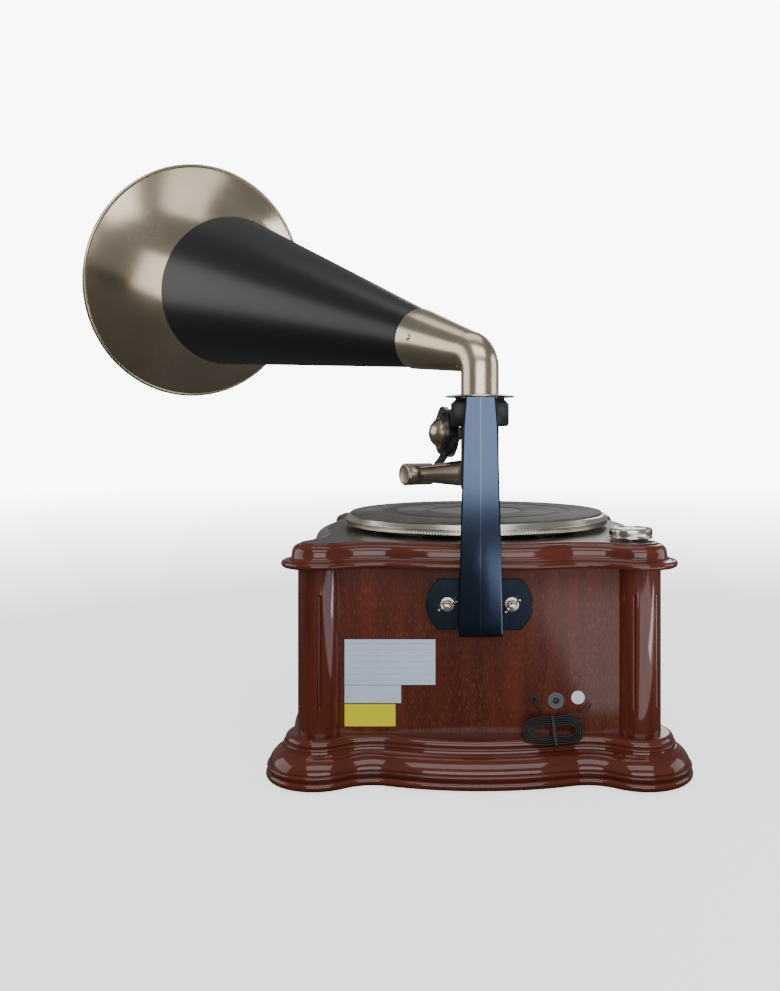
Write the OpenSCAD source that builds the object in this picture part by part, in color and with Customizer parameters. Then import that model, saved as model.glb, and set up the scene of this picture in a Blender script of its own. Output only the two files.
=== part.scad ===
// Electric table gramophone with a swivelling horn, modelled as the pieces it is built from.
// Units are millimetres. The front faces -Y, the back faces +Y and +Z is up.
// The origin lies on the standing surface, straight below the platter spindle.

/* [Cabinet] */
// Outer width and depth of the case panels
case_w = 308; // [280:1:340]
// Height of the case panels between the two mouldings
case_h = 150; // [130:1:190]
// Thickness of the case panels
panel_t = 12; // [8:1:16]
// Radius of a corner column
column_r = 20.6; // [17:0.2:24]
// Distance from a column's centre to the two panel faces it stands on
column_inset = 9; // [6:0.5:12]
// Length of the flutes cut in a column
flute_l = 100; // [60:1:120]
// Radius of a flute
flute_r = 2; // [1:0.2:3]
// Angle between neighbouring flutes
flute_step = 66; // [50:1:80]
// How far the column at the back, left in the photo, is turned in its place
flute_turn = 15; // [0:1:20]

/* [Mouldings] */
// Height of the base moulding
base_h = 39; // [36:1:46]
// Height of the top moulding
top_h = 22; // [20:1:28]
// Distance from the middle of a side to the deepest point of the hollow beside a corner
dip_x = 94; // [84:1:104]
// Depth of that hollow below the round of the corner
dip_depth = 15.4; // [10:0.2:20]
// How far the swell in the middle of a side stays behind the round of the corner
swell_drop = 2.3; // [0:0.1:5]
// Radius of the corner round that the three sizes above belong to
corner_r = 44; // [40:1:50]
// Thickness of the deck board
deck_t = 6; // [4:0.5:9]
// Thickness of the bottom board
floor_t = 10; // [6:1:14]

/* [Feet] */
// Height of a rubber foot
foot_h = 2; // [1:0.5:6]
// Radius of a rubber foot
foot_r = 12; // [8:1:15]
// Distance of a foot from the middle, each way
foot_c = 150; // [144:1:154]

/* [Platter] */
// Radius of the platter
platter_r = 140; // [125:1:142]
// Gap between the deck and the lower edge of the platter
platter_gap = 4; // [3:0.5:8]
// Height of the platter's rim
rim_h = 10.5; // [6:0.5:12]
// Radius of the rubber mat
mat_r = 134; // [115:1:134]
// Thickness of the rubber mat
mat_t = 2; // [1.5:0.5:4]
// Radius of the spindle that a record drops on
spindle_r = 3.6; // [3.5:0.05:3.65]
// Height of the spindle above the mat
spindle_h = 13; // [8:1:20]
// Radius of the shaft in the bearing
shaft_r = 5; // [4:0.1:6]
// Running clearance of shafts in their bores
run = 0.05; // [0.03:0.01:0.1]
// Radius of the ring under the platter that the belt runs on
belt_ring_r = 100; // [90:1:106]
// Radius of the motor pulley
pulley_r = 6; // [5:0.5:8]
// Distance of the motor from the spindle
motor_d = 118; // [114:1:120]
// Direction of the motor, seen from above
motor_turn = 205; // [190:1:250]

/* [Bracket and pivot] */
// Distance of the horn's pivot behind the spindle
pivot_y = 165; // [163:1:168]
// Height of the pivot collar's lower face above the deck
collar_z = 105; // [90:1:130]
// Height of the pivot collar
collar_h = 25; // [18:1:30]
// Radius of the pivot collar
collar_r = 26; // [23.5:0.5:28]
// Radius of the disc that covers the collar
flange_r = 31; // [29:0.5:34]
// Outer radius of the horn's neck and of the tonearm's upright tube
neck_r = 17; // [14:0.5:18]
// Width of the bracket bar at its foot
bar_w_foot = 39; // [32:1:46]
// Width of the bracket bar below the collar
bar_w_top = 30; // [24:1:32]
// Thickness of the bracket bar
bar_t = 4; // [3:0.5:5]
// How far the bar bows outward between its ends
bar_bow = 4; // [0:0.5:8]
// Width of the foot plate
plate_w = 96; // [84:1:110]
// Height of the foot plate
plate_h = 46; // [40:1:56]
// Thickness of the foot plate
plate_t = 4; // [3:0.5:6]
// Distance of each bolt from the middle of the foot plate
bolt_x = 29; // [27:0.5:34]
// Radius of the bolts
bolt_r = 2.5; // [2:0.5:3]

/* [Horn] */
// Direction of the horn, from straight ahead toward +X
horn_yaw = 42; // [0:1:60]
// How far the horn points upward
horn_pitch = 13.6; // [8:0.2:25]
// Height of the bend in the horn's neck above the collar
bend_h = 39.5; // [38:0.5:60]
// Distance along the horn to the end of the brass socket
socket_s = 87; // [70:1:110]
// Distance along the horn to the end of the black cone
cone_s = 475; // [360:1:520]
// Distance along the horn to the rim
rim_s = 572; // [540:1:650]
// Radius of the black cone at its wide end
cone_end_r = 94; // [80:1:105]
// How much the cone's radius grows for each millimetre along it
cone_slope = 0.17; // [0.14:0.005:0.18]
// Outer radius of the rim
rim_r = 156; // [140:1:175]
// Radius of the rolled edge
roll_r = 2.4; // [1.6:0.2:4]
// Thickness of the horn's sheet metal
sheet_t = 1.2; // [0.8:0.1:2]

/* [Tonearm] */
// Direction of the tonearm when it is put away, from straight ahead toward +X
arm_yaw = 34; // [20:1:50]
// Distance from the pivot to the hinge of the head
arm_l = 105; // [95:1:115]
// How far the arm drops on its way to the hinge
arm_drop = 5; // [0:1:10]
// Radius of the arm where it leaves the upright tube
arm_r_back = 13.7; // [11:0.1:15]
// Radius of the arm at the hinge
arm_r_front = 7.6; // [7:0.1:10.5]
// Height of the upright tube's closed lower end above the deck
arm_foot_z = 50; // [36:1:60]
// Radius of the hinge barrel
barrel_r = 11; // [10:0.5:13]
// Length of the hinge barrel
barrel_l = 27; // [22:1:34]
// Radius of the sound box
box_r = 23; // [18:0.5:24]
// Thickness of the sound box
box_t = 14; // [10:0.5:16]
// Radius of the brass dome on the sound box
dome_r = 14; // [10:0.5:16]
// Distance of the folded sound box back from the hinge
box_back = 51; // [46:1:54]
// Height of the folded sound box above the hinge
box_up = 40.5; // [38:0.5:46]
// Angle between the sound box and the arm
box_twist = 17; // [0:1:24]

/* [Controls and inlets] */
// Radius of the control knob on the deck
knob_r = 20; // [14:0.5:21]
// Height of the control knob on the deck
knob_h = 9.5; // [8:0.5:14]
// Radius of the two knobs on the front
front_knob_r = 13; // [10:0.5:16]
// Width of the front plate
fascia_w = 190; // [170:1:220]
// Height of the front plate
fascia_h = 56; // [50:1:80]
// Width of the dial window
dial_w = 92; // [70:1:110]
// Height of the dial window
dial_h = 26; // [20:1:36]
// Radius of a speaker's round opening
speaker_r = 38; // [30:1:46]
// Radius of the bore of the power inlet
jack_r = 3; // [2.5:0.1:3.5]
// Depth of the bore of the power inlet
jack_depth = 9; // [7:0.5:12]
// Radius of the grommet's hole for the aerial wire
gland_r = 0.8; // [0.7:0.1:1.2]

/* [Aerial wire] */
// Diameter of the aerial wire
wire_d = 1.4; // [1:0.1:1.4]
// Number of loops in each of the hank's two layers
hank_loops = 4; // [3:1:5]
// Half the length of the hank's longest loop
hank_half_l = 28; // [24:1:30]
// Half the width of the hank's widest loop
hank_half_w = 13.4; // [13.4:0.1:14.4]

/* [Hidden] */
$fn = 96;

// Heights, worked out from the floor up
base_z = foot_h;
case_z = base_z + base_h;
top_z = case_z + case_h;
deck_z = top_z + top_h;
platter_z = deck_z + platter_gap;
plate_top_z = platter_z + rim_h;
mat_z = plate_top_z + mat_t;
collar_low = deck_z + collar_z;
collar_top = collar_low + collar_h;
bend_z = collar_top + bend_h;
half = case_w / 2;
column_c = half - column_inset;
far = 900;

// A list of points on an arc, as [radius, height]
function arc(c, r, a0, a1, n) =
  [for (i = [0 : n]) let (a = a0 + (a1 - a0) * i / n) [c[0] + r * cos(a), c[1] + r * sin(a)]];
function mix(a, b, t) = a + (b - a) * t;

// The wavy outline of both mouldings. Its sides are three kinds of arc that meet smoothly: a
// round about each column, a hollow beside it and a flat swell in the middle.
run_a = column_c - dip_x;
run_b = corner_r - dip_depth;
hollow_r = (run_a * run_a + run_b * run_b - corner_r * corner_r) / (2 * (corner_r - run_b));
hollow_y = column_c + run_b + hollow_r;
swell_y = column_c + corner_r - swell_drop;
swell_d = hollow_y - swell_y;
swell_r = (dip_x * dip_x + swell_d * swell_d - hollow_r * hollow_r) / (2 * (hollow_r - swell_d));
round_end = 90 + atan2(run_a, hollow_y - column_c);
swell_start = atan2(hollow_y - (swell_y - swell_r), dip_x);
round_n = 5;
hollow_n = 4;
swell_n = 2;
half_n = round_n + hollow_n + swell_n;
function polar(c, r, a) = [c[0] + r * cos(a), c[1] + r * sin(a)];
function half_point(j, r) =
  j <= round_n ? polar([column_c, column_c], r, mix(45, round_end, j / round_n))
  : j <= round_n + hollow_n
    ? polar([dip_x, hollow_y], hollow_r + corner_r - r,
            180 + mix(round_end, swell_start, (j - round_n) / hollow_n))
    : polar([0, swell_y - swell_r], swell_r - corner_r + r,
            mix(swell_start, 90, (j - round_n - hollow_n) / swell_n));
function side_point(j, r) =
  j <= half_n ? half_point(j, r)
  : let (p = half_point(2 * half_n - j, r)) [-p[0], p[1]];
function turned(p, k) =
  k == 0 ? p : k == 1 ? [-p[1], p[0]] : k == 2 ? [-p[0], -p[1]] : [p[1], -p[0]];
function outline(r) =
  [for (k = [0 : 3]) for (j = [0 : 2 * half_n - 1]) turned(side_point(j, r), k)];
function squared(p, h) = p * h / max(abs(p[0]), abs(p[1]));

// A moulding frame: the profile's points [radius, height] swept round the outline and closed
// on the inside by a square opening
module moulding(profile, opening, low, high) {
  rings = concat(
    [for (p = profile) [for (q = outline(p[0])) [q[0], q[1], p[1]]]],
    [for (z = [high, low]) [for (q = outline(corner_r)) let (s = squared(q, opening)) [s[0], s[1], z]]]
  );
  n = len(rings[0]);
  m = len(rings);
  points = [for (ring = rings) for (p = ring) p];
  faces = [
    for (i = [0 : m - 1]) for (j = [0 : n - 1])
      let (a = i * n + j, b = i * n + (j + 1) % n)
      let (c = ((i + 1) % m) * n + (j + 1) % n, d = ((i + 1) % m) * n + j)
      for (f = [[a, c, b], [a, d, c]]) f
  ];
  polyhedron(points, faces);
}

// Profiles of the two mouldings, from the lower edge up, heights from the moulding's foot
frame_lap = 19;
frame_open = half - frame_lap;
base_profile = concat(
  arc([45.1, 4], 4, -90, 70, 4),
  [[45.5, 8.8]],
  arc([46.2, 11.2], 2, -60, 80, 2),
  [[45.8, 13.8]],
  arc([27.76, 9.05], 19.2, 16.2, 63.3, 4),
  [[35, 27.4], [33.2, 27.8]],
  arc([32, 30.4], 1.7, -40, 80, 2),
  [[31.4, 32.6]],
  arc([26.4, base_h - 5.6], 5.6, 0, 90, 3)
);
cover_rim = 14.2;
cover_gap = 0.1;
top_profile = concat(
  arc([32.6, 3.2], 3.2, -90, 75, 4),
  [[29.5, 6.9], [27.2, 8.6], [26.2, 11]],
  arc([17.8, 12.6], 8.4, 10, 66, 3),
  [[18.8, top_h - 1.6], [18, top_h - 0.4], [17, top_h]],
  [[cover_rim, top_h], [cover_rim, top_h - deck_t]]
);

module rubber_feet() {
  color("#1c1c1c")
    for (x = [-1, 1]) for (y = [-1, 1])
      translate([x * foot_c, y * foot_c, 0])
        difference() {
          cylinder(r = foot_r, h = foot_h);
          translate([0, 0, -1]) cylinder(r = foot_r / 4, h = foot_h / 2 + 1);
        }
}

module base_moulding() {
  color("#5a2316")
    translate([0, 0, base_z]) moulding(base_profile, frame_open, 0, base_h);
}

floor_z = base_z + 8;
module bottom_board() {
  color("#8a6a48")
    translate([-frame_open, -frame_open, floor_z])
      cube([2 * frame_open, 2 * frame_open, floor_t]);
}

// One column wraps round a corner of the case, with stopped flutes on its open side
corner_cut = 40;
module column(turn) {
  difference() {
    cylinder(r = column_r, h = case_h);
    translate([column_inset - corner_cut, column_inset - corner_cut, -1])
      cube([corner_cut, corner_cut, case_h + 2]);
    for (i = [-1 : 1])
      rotate([0, 0, 45 + i * flute_step + turn])
        translate([column_r, 0, (case_h - flute_l) / 2])
          cylinder(r = flute_r, h = flute_l, $fn = 32);
  }
}

module corner_columns() {
  color("#6a2a18")
    for (i = [0 : 3])
      rotate([0, 0, 90 * i])
        translate([column_c, column_c, case_z]) column(i == 0 ? -flute_turn : 0);
}

// Places on the back panel
inlet_x = -69;
inlet_z = case_z + 29;
grommet_x = -49;
grommet_z = case_z + 31;
plate_z = case_z + 117;
inlet_body_r = 7.5;
grommet_r = 2.6;
module back_holes() {
  translate([inlet_x, half - panel_t - 1, inlet_z]) rotate([-90, 0, 0])
    cylinder(r = inlet_body_r, h = panel_t + 2);
  translate([grommet_x, half - panel_t - 1, grommet_z]) rotate([-90, 0, 0])
    cylinder(r = grommet_r, h = panel_t + 2);
  for (x = [-bolt_x, bolt_x])
    translate([x, half - panel_t - 1, plate_z]) rotate([-90, 0, 0])
      cylinder(r = bolt_r, h = panel_t + 2);
}

module back_panel() {
  color("#6f3a20")
    difference() {
      translate([-half, half - panel_t, case_z]) cube([case_w, panel_t, case_h]);
      back_holes();
    }
}

// Places on the front
fascia_z = case_z + case_h / 2;
knob_x = fascia_w / 2 - 24;
fascia_t = 2;
front_shaft_r = 3;
module front_openings(depth, grow) {
  translate([-dial_w / 2, -half - fascia_t - 1, fascia_z - dial_h / 2])
    cube([dial_w, depth + fascia_t + 2, dial_h]);
  for (x = [-knob_x, knob_x])
    translate([x, -half - fascia_t - 1, fascia_z]) rotate([-90, 0, 0])
      cylinder(r = front_shaft_r + grow, h = depth + fascia_t + 2);
}

module front_panel() {
  color("#6a2a18")
    difference() {
      translate([-half, -half, case_z]) cube([case_w, panel_t, case_h]);
      front_openings(panel_t, run);
    }
}

speaker_z = case_z + case_h / 2;
module side_panel(side) {
  color("#6a2a18")
    difference() {
      translate([side > 0 ? half - panel_t : -half, panel_t - half, case_z])
        cube([panel_t, case_w - 2 * panel_t, case_h]);
      translate([side * (half + 1), 0, speaker_z]) rotate([0, -90 * side, 0])
        cylinder(r = speaker_r, h = panel_t + 2);
    }
}

module left_side_panel() {
  side_panel(1);
}

module right_side_panel() {
  side_panel(-1);
}

// Round fretted grille let into the side panel in front of the speaker
grille_t = 3;
slot_w = 4;
slot_gap = 8;
module grille() {
  difference() {
    cylinder(r = speaker_r, h = grille_t);
    for (i = [-3 : 3])
      let (l = sqrt(pow(speaker_r - 6, 2) - pow(i * slot_gap, 2)))
        translate([i * slot_gap - slot_w / 2, -l, -1]) cube([slot_w, 2 * l, grille_t + 2]);
  }
}

module speaker_grilles() {
  color("#a08a5a")
    for (s = [-1, 1])
      translate([s * (half - 5), 0, speaker_z]) rotate([0, -90 * s, 0]) grille();
}

// A loudspeaker: basket ring, cone and magnet in one profile about its own axis
module speaker_drivers() {
  color("#2a2a2a")
    for (s = [-1, 1])
      translate([s * (half - panel_t), 0, speaker_z]) rotate([0, -90 * s, 0])
        rotate_extrude()
          polygon([[0, 10], [16, 10], [speaker_r - 4, 0], [speaker_r + 6, 0],
                   [speaker_r + 6, 3], [20, 22], [20, 34], [0, 34]]);
}

module top_moulding() {
  color("#5a2316")
    translate([0, 0, top_z]) moulding(top_profile, frame_open, 0, top_h - deck_t);
}

// The motor stands off the spindle, inside the platter's rim
motor_x = motor_d * cos(motor_turn);
motor_y = motor_d * sin(motor_turn);
knob_cx = -column_c + 3.5;
knob_cy = column_c - 15;
knob_shaft_r = 3;
knob_lift = 1.5;
housing_r = 9;
motor_shaft_r = 1.5;
motor_boss_r = 5;
module deck_board() {
  color("#2b201c")
    difference() {
      translate([0, 0, deck_z - deck_t])
        linear_extrude(deck_t) polygon(outline(cover_rim - cover_gap));
      translate([0, 0, top_z]) cylinder(r = housing_r, h = top_h + 1);
      translate([motor_x, motor_y, top_z]) cylinder(r = motor_boss_r, h = top_h + 1);
      translate([knob_cx, knob_cy, top_z]) cylinder(r = knob_shaft_r + run, h = top_h + 1);
    }
}

housing_depth = 26;
housing_floor = 3;
module bearing_housing() {
  color("#b08d4a")
    difference() {
      union() {
        translate([0, 0, deck_z - housing_depth]) cylinder(r = housing_r, h = housing_depth + 1);
        translate([0, 0, deck_z]) cylinder(r = 2 * housing_r, h = 1.5);
      }
      translate([0, 0, deck_z - housing_depth + housing_floor])
        cylinder(r = shaft_r + run, h = far);
    }
}

// The platter is a shallow dish with a rounded brim, and carries the belt ring underneath
plate_low_z = plate_top_z - 3;
belt_ring_t = 3;
module platter() {
  color("#b9ae94")
    rotate_extrude($fn = 192)
      polygon([
        [shaft_r, plate_low_z], [belt_ring_r - belt_ring_t, plate_low_z],
        [belt_ring_r - belt_ring_t, platter_z - 2], [belt_ring_r, platter_z - 2],
        [belt_ring_r, plate_low_z], [platter_r - 4, plate_low_z],
        [platter_r - 4, platter_z], [platter_r - 0.6, platter_z],
        [platter_r, platter_z + 0.6], [platter_r, platter_z + rim_h * 0.5],
        [platter_r - 0.8, platter_z + rim_h * 0.56], [platter_r - 2.4, plate_top_z - 0.8],
        [platter_r - 3.6, plate_top_z], [shaft_r, plate_top_z]
      ]);
}

groove_in = 86;
groove_out = 101;
label_r = 50;
label_drop = 0.8;
module platter_mat() {
  color("#2a2a2c")
    translate([0, 0, plate_top_z])
      rotate_extrude($fn = 192)
        polygon([[shaft_r + 0.5, 0], [mat_r, 0], [mat_r, mat_t - 0.4], [mat_r - 0.4, mat_t],
                 [groove_out, mat_t], [groove_out - 1, mat_t - 0.6], [groove_in, mat_t - 0.6],
                 [groove_in - 1, mat_t], [label_r, mat_t], [label_r - 1, mat_t - label_drop],
                 [shaft_r + 0.5, mat_t - label_drop]]);
}

// The shaft ends level with the sunk middle of the mat, and the record pin stands on it
shaft_low_z = deck_z - housing_depth + housing_floor + 0.3;
shaft_top_z = mat_z - label_drop;
tip_z = mat_z + spindle_h - spindle_r / 2;
module platter_spindle() {
  color("#d0d0cc") {
    translate([0, 0, shaft_low_z]) cylinder(r = shaft_r, h = shaft_top_z - shaft_low_z);
    translate([0, 0, shaft_top_z - 1]) cylinder(r = spindle_r, h = tip_z - shaft_top_z + 1);
    translate([0, 0, tip_z]) cylinder(r1 = spindle_r, r2 = spindle_r / 2, h = spindle_r / 2);
  }
}

// The belt is a thin band round the ring and the pulley, drawn as the skin between two shapes
belt_h = 4;
belt_t = 0.6;
belt_z = platter_z - 1;
module belt_shape(extra) {
  hull() {
    circle(r = belt_ring_r + extra, $fn = 96);
    translate([motor_x, motor_y]) circle(r = pulley_r + extra, $fn = 32);
  }
}

belt_clear = 0.3;
module drive_belt() {
  color("#151515")
    translate([0, 0, belt_z])
      linear_extrude(belt_h)
        difference() {
          belt_shape(belt_clear + belt_t);
          belt_shape(belt_clear);
        }
}

motor_r = 17;
motor_h = 24;
module motor() {
  color("#9a9a98")
    translate([motor_x, motor_y, deck_z - deck_t]) {
      difference() {
        union() {
          translate([0, 0, -motor_h]) cylinder(r = motor_r, h = motor_h);
          cylinder(r = motor_boss_r - 0.2, h = deck_t - 1);
        }
        translate([0, 0, -motor_h / 2]) cylinder(r = motor_shaft_r + run, h = far, $fn = 32);
      }
    }
}

motor_shaft_z = deck_z - deck_t - motor_h / 2 + 0.3;
module motor_pulley() {
  color("#c9b277")
    translate([motor_x, motor_y, 0]) {
      translate([0, 0, motor_shaft_z])
        cylinder(r = motor_shaft_r, h = belt_z - motor_shaft_z, $fn = 32);
      translate([0, 0, belt_z - 1]) cylinder(r = pulley_r, h = belt_h + 2);
    }
}

// The knob on the deck is a metal ring round a sunk glossy cap, on a shaft through the deck
knob_wall = 2;
knob_z = deck_z + knob_lift;
knob_shaft_l = knob_lift + deck_t - 0.3;
module deck_knob() {
  color("#c8c0aa")
    translate([knob_cx, knob_cy, knob_z]) {
      difference() {
        cylinder(r = knob_r, h = knob_h);
        translate([0, 0, 4]) cylinder(r = knob_r - knob_wall, h = knob_h);
      }
      translate([0, 0, -knob_shaft_l]) cylinder(r = knob_shaft_r, h = knob_shaft_l + 1, $fn = 48);
    }
}

module deck_knob_cap() {
  color("#101010")
    translate([knob_cx, knob_cy, knob_z + 4])
      rotate_extrude()
        polygon([[0, 0], [knob_r - knob_wall, 0], [knob_r - knob_wall, knob_h - 5.4],
                 [knob_r - knob_wall - 2, knob_h - 4.8], [knob_r * 0.45, knob_h - 5.4], [0, knob_h - 5.8]]);
}

board_w = 120;
board_d = 80;
board_t = 1.6;
board_z = floor_z + floor_t + 8;
module circuit_board() {
  color("#2f6b3a")
    translate([-20, 60, 0]) {
      difference() {
        translate([-board_w / 2, -board_d / 2, board_z]) cube([board_w, board_d, board_t]);
        for (x = [-1, 1]) for (y = [-1, 1])
          translate([x * (board_w / 2 - 6), y * (board_d / 2 - 6), board_z - 1])
            cylinder(r = 1.6, h = board_t + 2, $fn = 24);
      }
      for (x = [-1, 1]) for (y = [-1, 1])
        translate([x * (board_w / 2 - 14), y * (board_d / 2 - 6), floor_z + floor_t])
          cylinder(r = 3, h = 8, $fn = 24);
      translate([-30, 0, board_z + board_t]) cube([28, 22, 10]);
      translate([20, -20, board_z + board_t]) cylinder(r = 8, h = 22);
      translate([38, 10, board_z + board_t]) cylinder(r = 5, h = 14);
    }
}

module power_inlet() {
  color("#6e6e70")
    translate([inlet_x, half, inlet_z]) rotate([-90, 0, 0])
      difference() {
        union() {
          translate([0, 0, -panel_t - 3]) cylinder(r = inlet_body_r, h = panel_t + 3);
          cylinder(r1 = inlet_body_r, r2 = inlet_body_r - 1, h = 1);
        }
        translate([0, 0, 1 - jack_depth]) cylinder(r = jack_r, h = far);
      }
}

pin_r = 0.8;
module power_inlet_pin() {
  color("#d9d4c8")
    translate([inlet_x, half, inlet_z]) rotate([-90, 0, 0])
      translate([0, 0, 1 - jack_depth]) cylinder(r = pin_r, h = jack_depth - 1.5, $fn = 24);
}

grommet_lip = 1.5;
module aerial_grommet() {
  color("#191919")
    translate([grommet_x, half, grommet_z]) rotate([-90, 0, 0])
      difference() {
        union() {
          translate([0, 0, -panel_t]) cylinder(r = grommet_r, h = panel_t, $fn = 32);
          cylinder(r = grommet_r + 1.2, h = grommet_lip, $fn = 32);
        }
        translate([0, 0, -panel_t - 1]) cylinder(r = gland_r + 0.1, h = panel_t, $fn = 32);
      }
}

// Sweeping a round section along a list of points: each ring stands square to the path
function unit(v) = v / norm(v);
function along(path, i) =
  unit(path[min(i + 1, len(path) - 1)] - path[max(i - 1, 0)]);
function across(d, side) = unit(side - (side * d) * d);
module tube(path, d, sides, side) {
  n = len(path);
  points = concat(
    [for (i = [0 : n - 1])
      let (t = along(path, i), u = across(t, side), v = cross(t, u))
      for (k = [0 : sides - 1])
        path[i] + d / 2 * (cos(360 * k / sides) * u + sin(360 * k / sides) * v)],
    [path[0], path[n - 1]]
  );
  faces = concat(
    [for (i = [0 : n - 2]) for (k = [0 : sides - 1])
      let (a = i * sides + k, b = i * sides + (k + 1) % sides)
      for (f = [[a, b + sides, b], [a, a + sides, b + sides]]) f],
    [for (k = [0 : sides - 1]) [n * sides, k, (k + 1) % sides]],
    [for (k = [0 : sides - 1])
      [n * sides + 1, (n - 1) * sides + (k + 1) % sides, (n - 1) * sides + k]]
  );
  polyhedron(points, faces);
}

// A smooth curve through hand-set points
function bend(p, i, t) =
  let (n = len(p) - 1, a = p[max(i - 1, 0)], b = p[i], c = p[min(i + 1, n)], d = p[min(i + 2, n)])
  0.5 * (2 * b + (c - a) * t + (2 * a - 5 * b + 4 * c - d) * t * t + (3 * b - a - 3 * c + d) * t * t * t);
function smooth(p, n) =
  concat([for (i = [0 : len(p) - 2]) for (k = [0 : n - 1]) bend(p, i, k / n)], [p[len(p) - 1]]);

// The hank lies aslant on the steps of the base. Its loops spiral in on the lower layer and out
// again on the upper one, and all are drawn in alike at the waist, where the tie holds them.
hank_at = [-66, 165.4, 46.6];
hank_yaw = 10;
hank_slope = 60;
loop_step = wire_d + 0.6;
layer_step = wire_d + 0.6;
waist_in = 1.2;
waist_half = 10;
hank_turns = 2 * hank_loops;
rings_a_loop = 24;
hank_steps = hank_turns * rings_a_loop;
function inward(t) = t <= hank_loops ? t : hank_turns - t;
function layer(t) = max(0, min(1, (t - hank_loops + 0.25) * 2));
function pinch(x) = waist_in * exp(-pow(x / waist_half, 2));
function hank_point(t) =
  let (a = 90 + 360 * t, s = inward(t) * loop_step)
  let (l = hank_half_l - s, w = hank_half_w - s)
  let (c = cos(a), x = (l - w) * c * (15 - 10 * pow(c, 2) + 3 * pow(c, 4)) / 8 + w * c)
  let (y = -w * sin(a) + (sin(a) > 0 ? 1 : -1) * pinch(x) * min(1, abs(sin(a)) * 1.6))
  [x, y, (layer(t) - 0.5) * layer_step];
function placed(p) =
  let (y = p[1] * cos(hank_slope) + p[2] * sin(hank_slope))
  let (z = -p[1] * sin(hank_slope) + p[2] * cos(hank_slope))
  hank_at + [p[0] * cos(hank_yaw) - y * sin(hank_yaw), p[0] * sin(hank_yaw) + y * cos(hank_yaw), z];
hank_core = [for (i = [0 : hank_steps]) placed(hank_point(i / rings_a_loop))];
hank_start = hank_core[0] - wire_d * unit(hank_core[1] - hank_core[0]);
hank_end = hank_core[hank_steps] + wire_d * unit(hank_core[hank_steps] - hank_core[hank_steps - 1]);
hank_path = concat([hank_start], hank_core, [hank_end]);
hank_side = placed([0, 0, 1]) - placed([0, 0, 0]);

module aerial_hank() {
  color("#111214") tube(hank_path, wire_d, 6, hank_side);
}

// The least distance between the hank's loops, which leaves out each point's own neighbours
skip = rings_a_loop / 2;
function gap_at(i) =
  min([for (j = [i + skip : 1 : len(hank_core) - 1]) norm(hank_core[i] - hank_core[j])]);
least_gap = min([for (i = [0 : len(hank_core) - 1 - skip]) gap_at(i)]) - wire_d;
echo(least_gap = least_gap);

// The stretch from the grommet to the hank, and the free end beyond it
wire_points = [
  [grommet_x, half + grommet_lip, grommet_z],
  [grommet_x, half + 4, grommet_z],
  [-49.9, 160.8, 70.5],
  [-51.4, 162.1, 67.3],
  [-53.5, 161.3, 63.9],
  [-55.8, 160.2, 59.9]
];
wire_in = hank_start - 3.5 * unit(hank_core[1] - hank_core[0]);
wire_end = hank_start - 0.1 * unit(hank_core[1] - hank_core[0]);
wire_route = smooth(concat(wire_points, [wire_in, wire_end]), 4);
module aerial_wire() {
  color("#111214") tube(wire_route, wire_d, 8, [1, 0, 0.2]);
}

tail_points = [[-82, 160.2, 59.5], [-91, 159.5, 60.5], [-97, 159.5, 64], [-99.5, 160, 69]];
tail_out = hank_end + 5 * unit(hank_core[hank_steps] - hank_core[hank_steps - 1]);
tail_start = hank_end + 0.1 * unit(hank_core[hank_steps] - hank_core[hank_steps - 1]);
tail_route = smooth(concat([tail_start, tail_out], tail_points), 4);
module aerial_tail() {
  color("#111214") tube(tail_route, wire_d, 8, [0, 1, 0.2]);
}

tie_w = 3;
tie_t = 0.8;
module wire_tie() {
  out_y = hank_half_w - waist_in + wire_d / 2 + 0.3;
  out_z = layer_step / 2 + wire_d / 2 + 0.3;
  color("#0c0c0c")
    translate(hank_at) rotate([0, 0, hank_yaw]) rotate([-hank_slope, 0, 0])
      translate([-tie_w / 2, 0, 0])
        difference() {
          translate([0, -out_y - tie_t, -out_z - tie_t])
            cube([tie_w, 2 * (out_y + tie_t), 2 * (out_z + tie_t)]);
          translate([-1, -out_y, -out_z]) cube([tie_w + 2, 2 * out_y, 2 * out_z]);
        }
}

// Blank stickers on the back
label_t = 0.2;
module sticker(x0, z0, w, h) {
  translate([x0, half, case_z + z0]) cube([w, label_t, h]);
}

module white_labels() {
  color("#e9ecf0") {
    sticker(40, 43.5, 82, 41);
    sticker(71, 27, 51, 16);
  }
}

module yellow_label() {
  color("#dcd42c") sticker(76, 6, 46, 20);
}

module round_sticker() {
  color("#e4e4e4")
    translate([-89, half, case_z + 32]) rotate([-90, 0, 0]) cylinder(r = 6, h = label_t);
}

// Front plate with the dial and two knobs
module fascia_plate() {
  color("#b08d4a")
    difference() {
      translate([-fascia_w / 2, -half - fascia_t, fascia_z - fascia_h / 2])
        cube([fascia_w, fascia_t, fascia_h]);
      front_openings(0, run);
    }
}

window_t = 2;
module dial_window() {
  color("#d8cfae")
    translate([-dial_w / 2, -half, fascia_z - dial_h / 2]) cube([dial_w, window_t, dial_h]);
}

pointer_travel = dial_w - 16;
pointer_gap = 0.4;
module dial_pointer() {
  color("#c0301c")
    translate([-pointer_travel / 2 - 1, -half + window_t + pointer_gap, fascia_z - dial_h / 2 + 2])
      cube([2, 2, dial_h - 4]);
}

knob_front_h = 14;
shaft_in = panel_t + 12;
module front_knob(x) {
  translate([x, -half - fascia_t - 0.5, fascia_z]) rotate([90, 0, 0]) {
    difference() {
      union() {
        cylinder(r = front_knob_r, h = 3);
        cylinder(r1 = front_knob_r - 2, r2 = front_knob_r - 3, h = knob_front_h);
      }
      for (a = [0 : 30 : 330])
        rotate([0, 0, a]) translate([front_knob_r - 1.2, 0, 3.4])
          cylinder(r = 1.2, h = far, $fn = 24);
    }
    translate([0, 0, -shaft_in]) cylinder(r = front_shaft_r, h = shaft_in + 1);
  }
}

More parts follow.
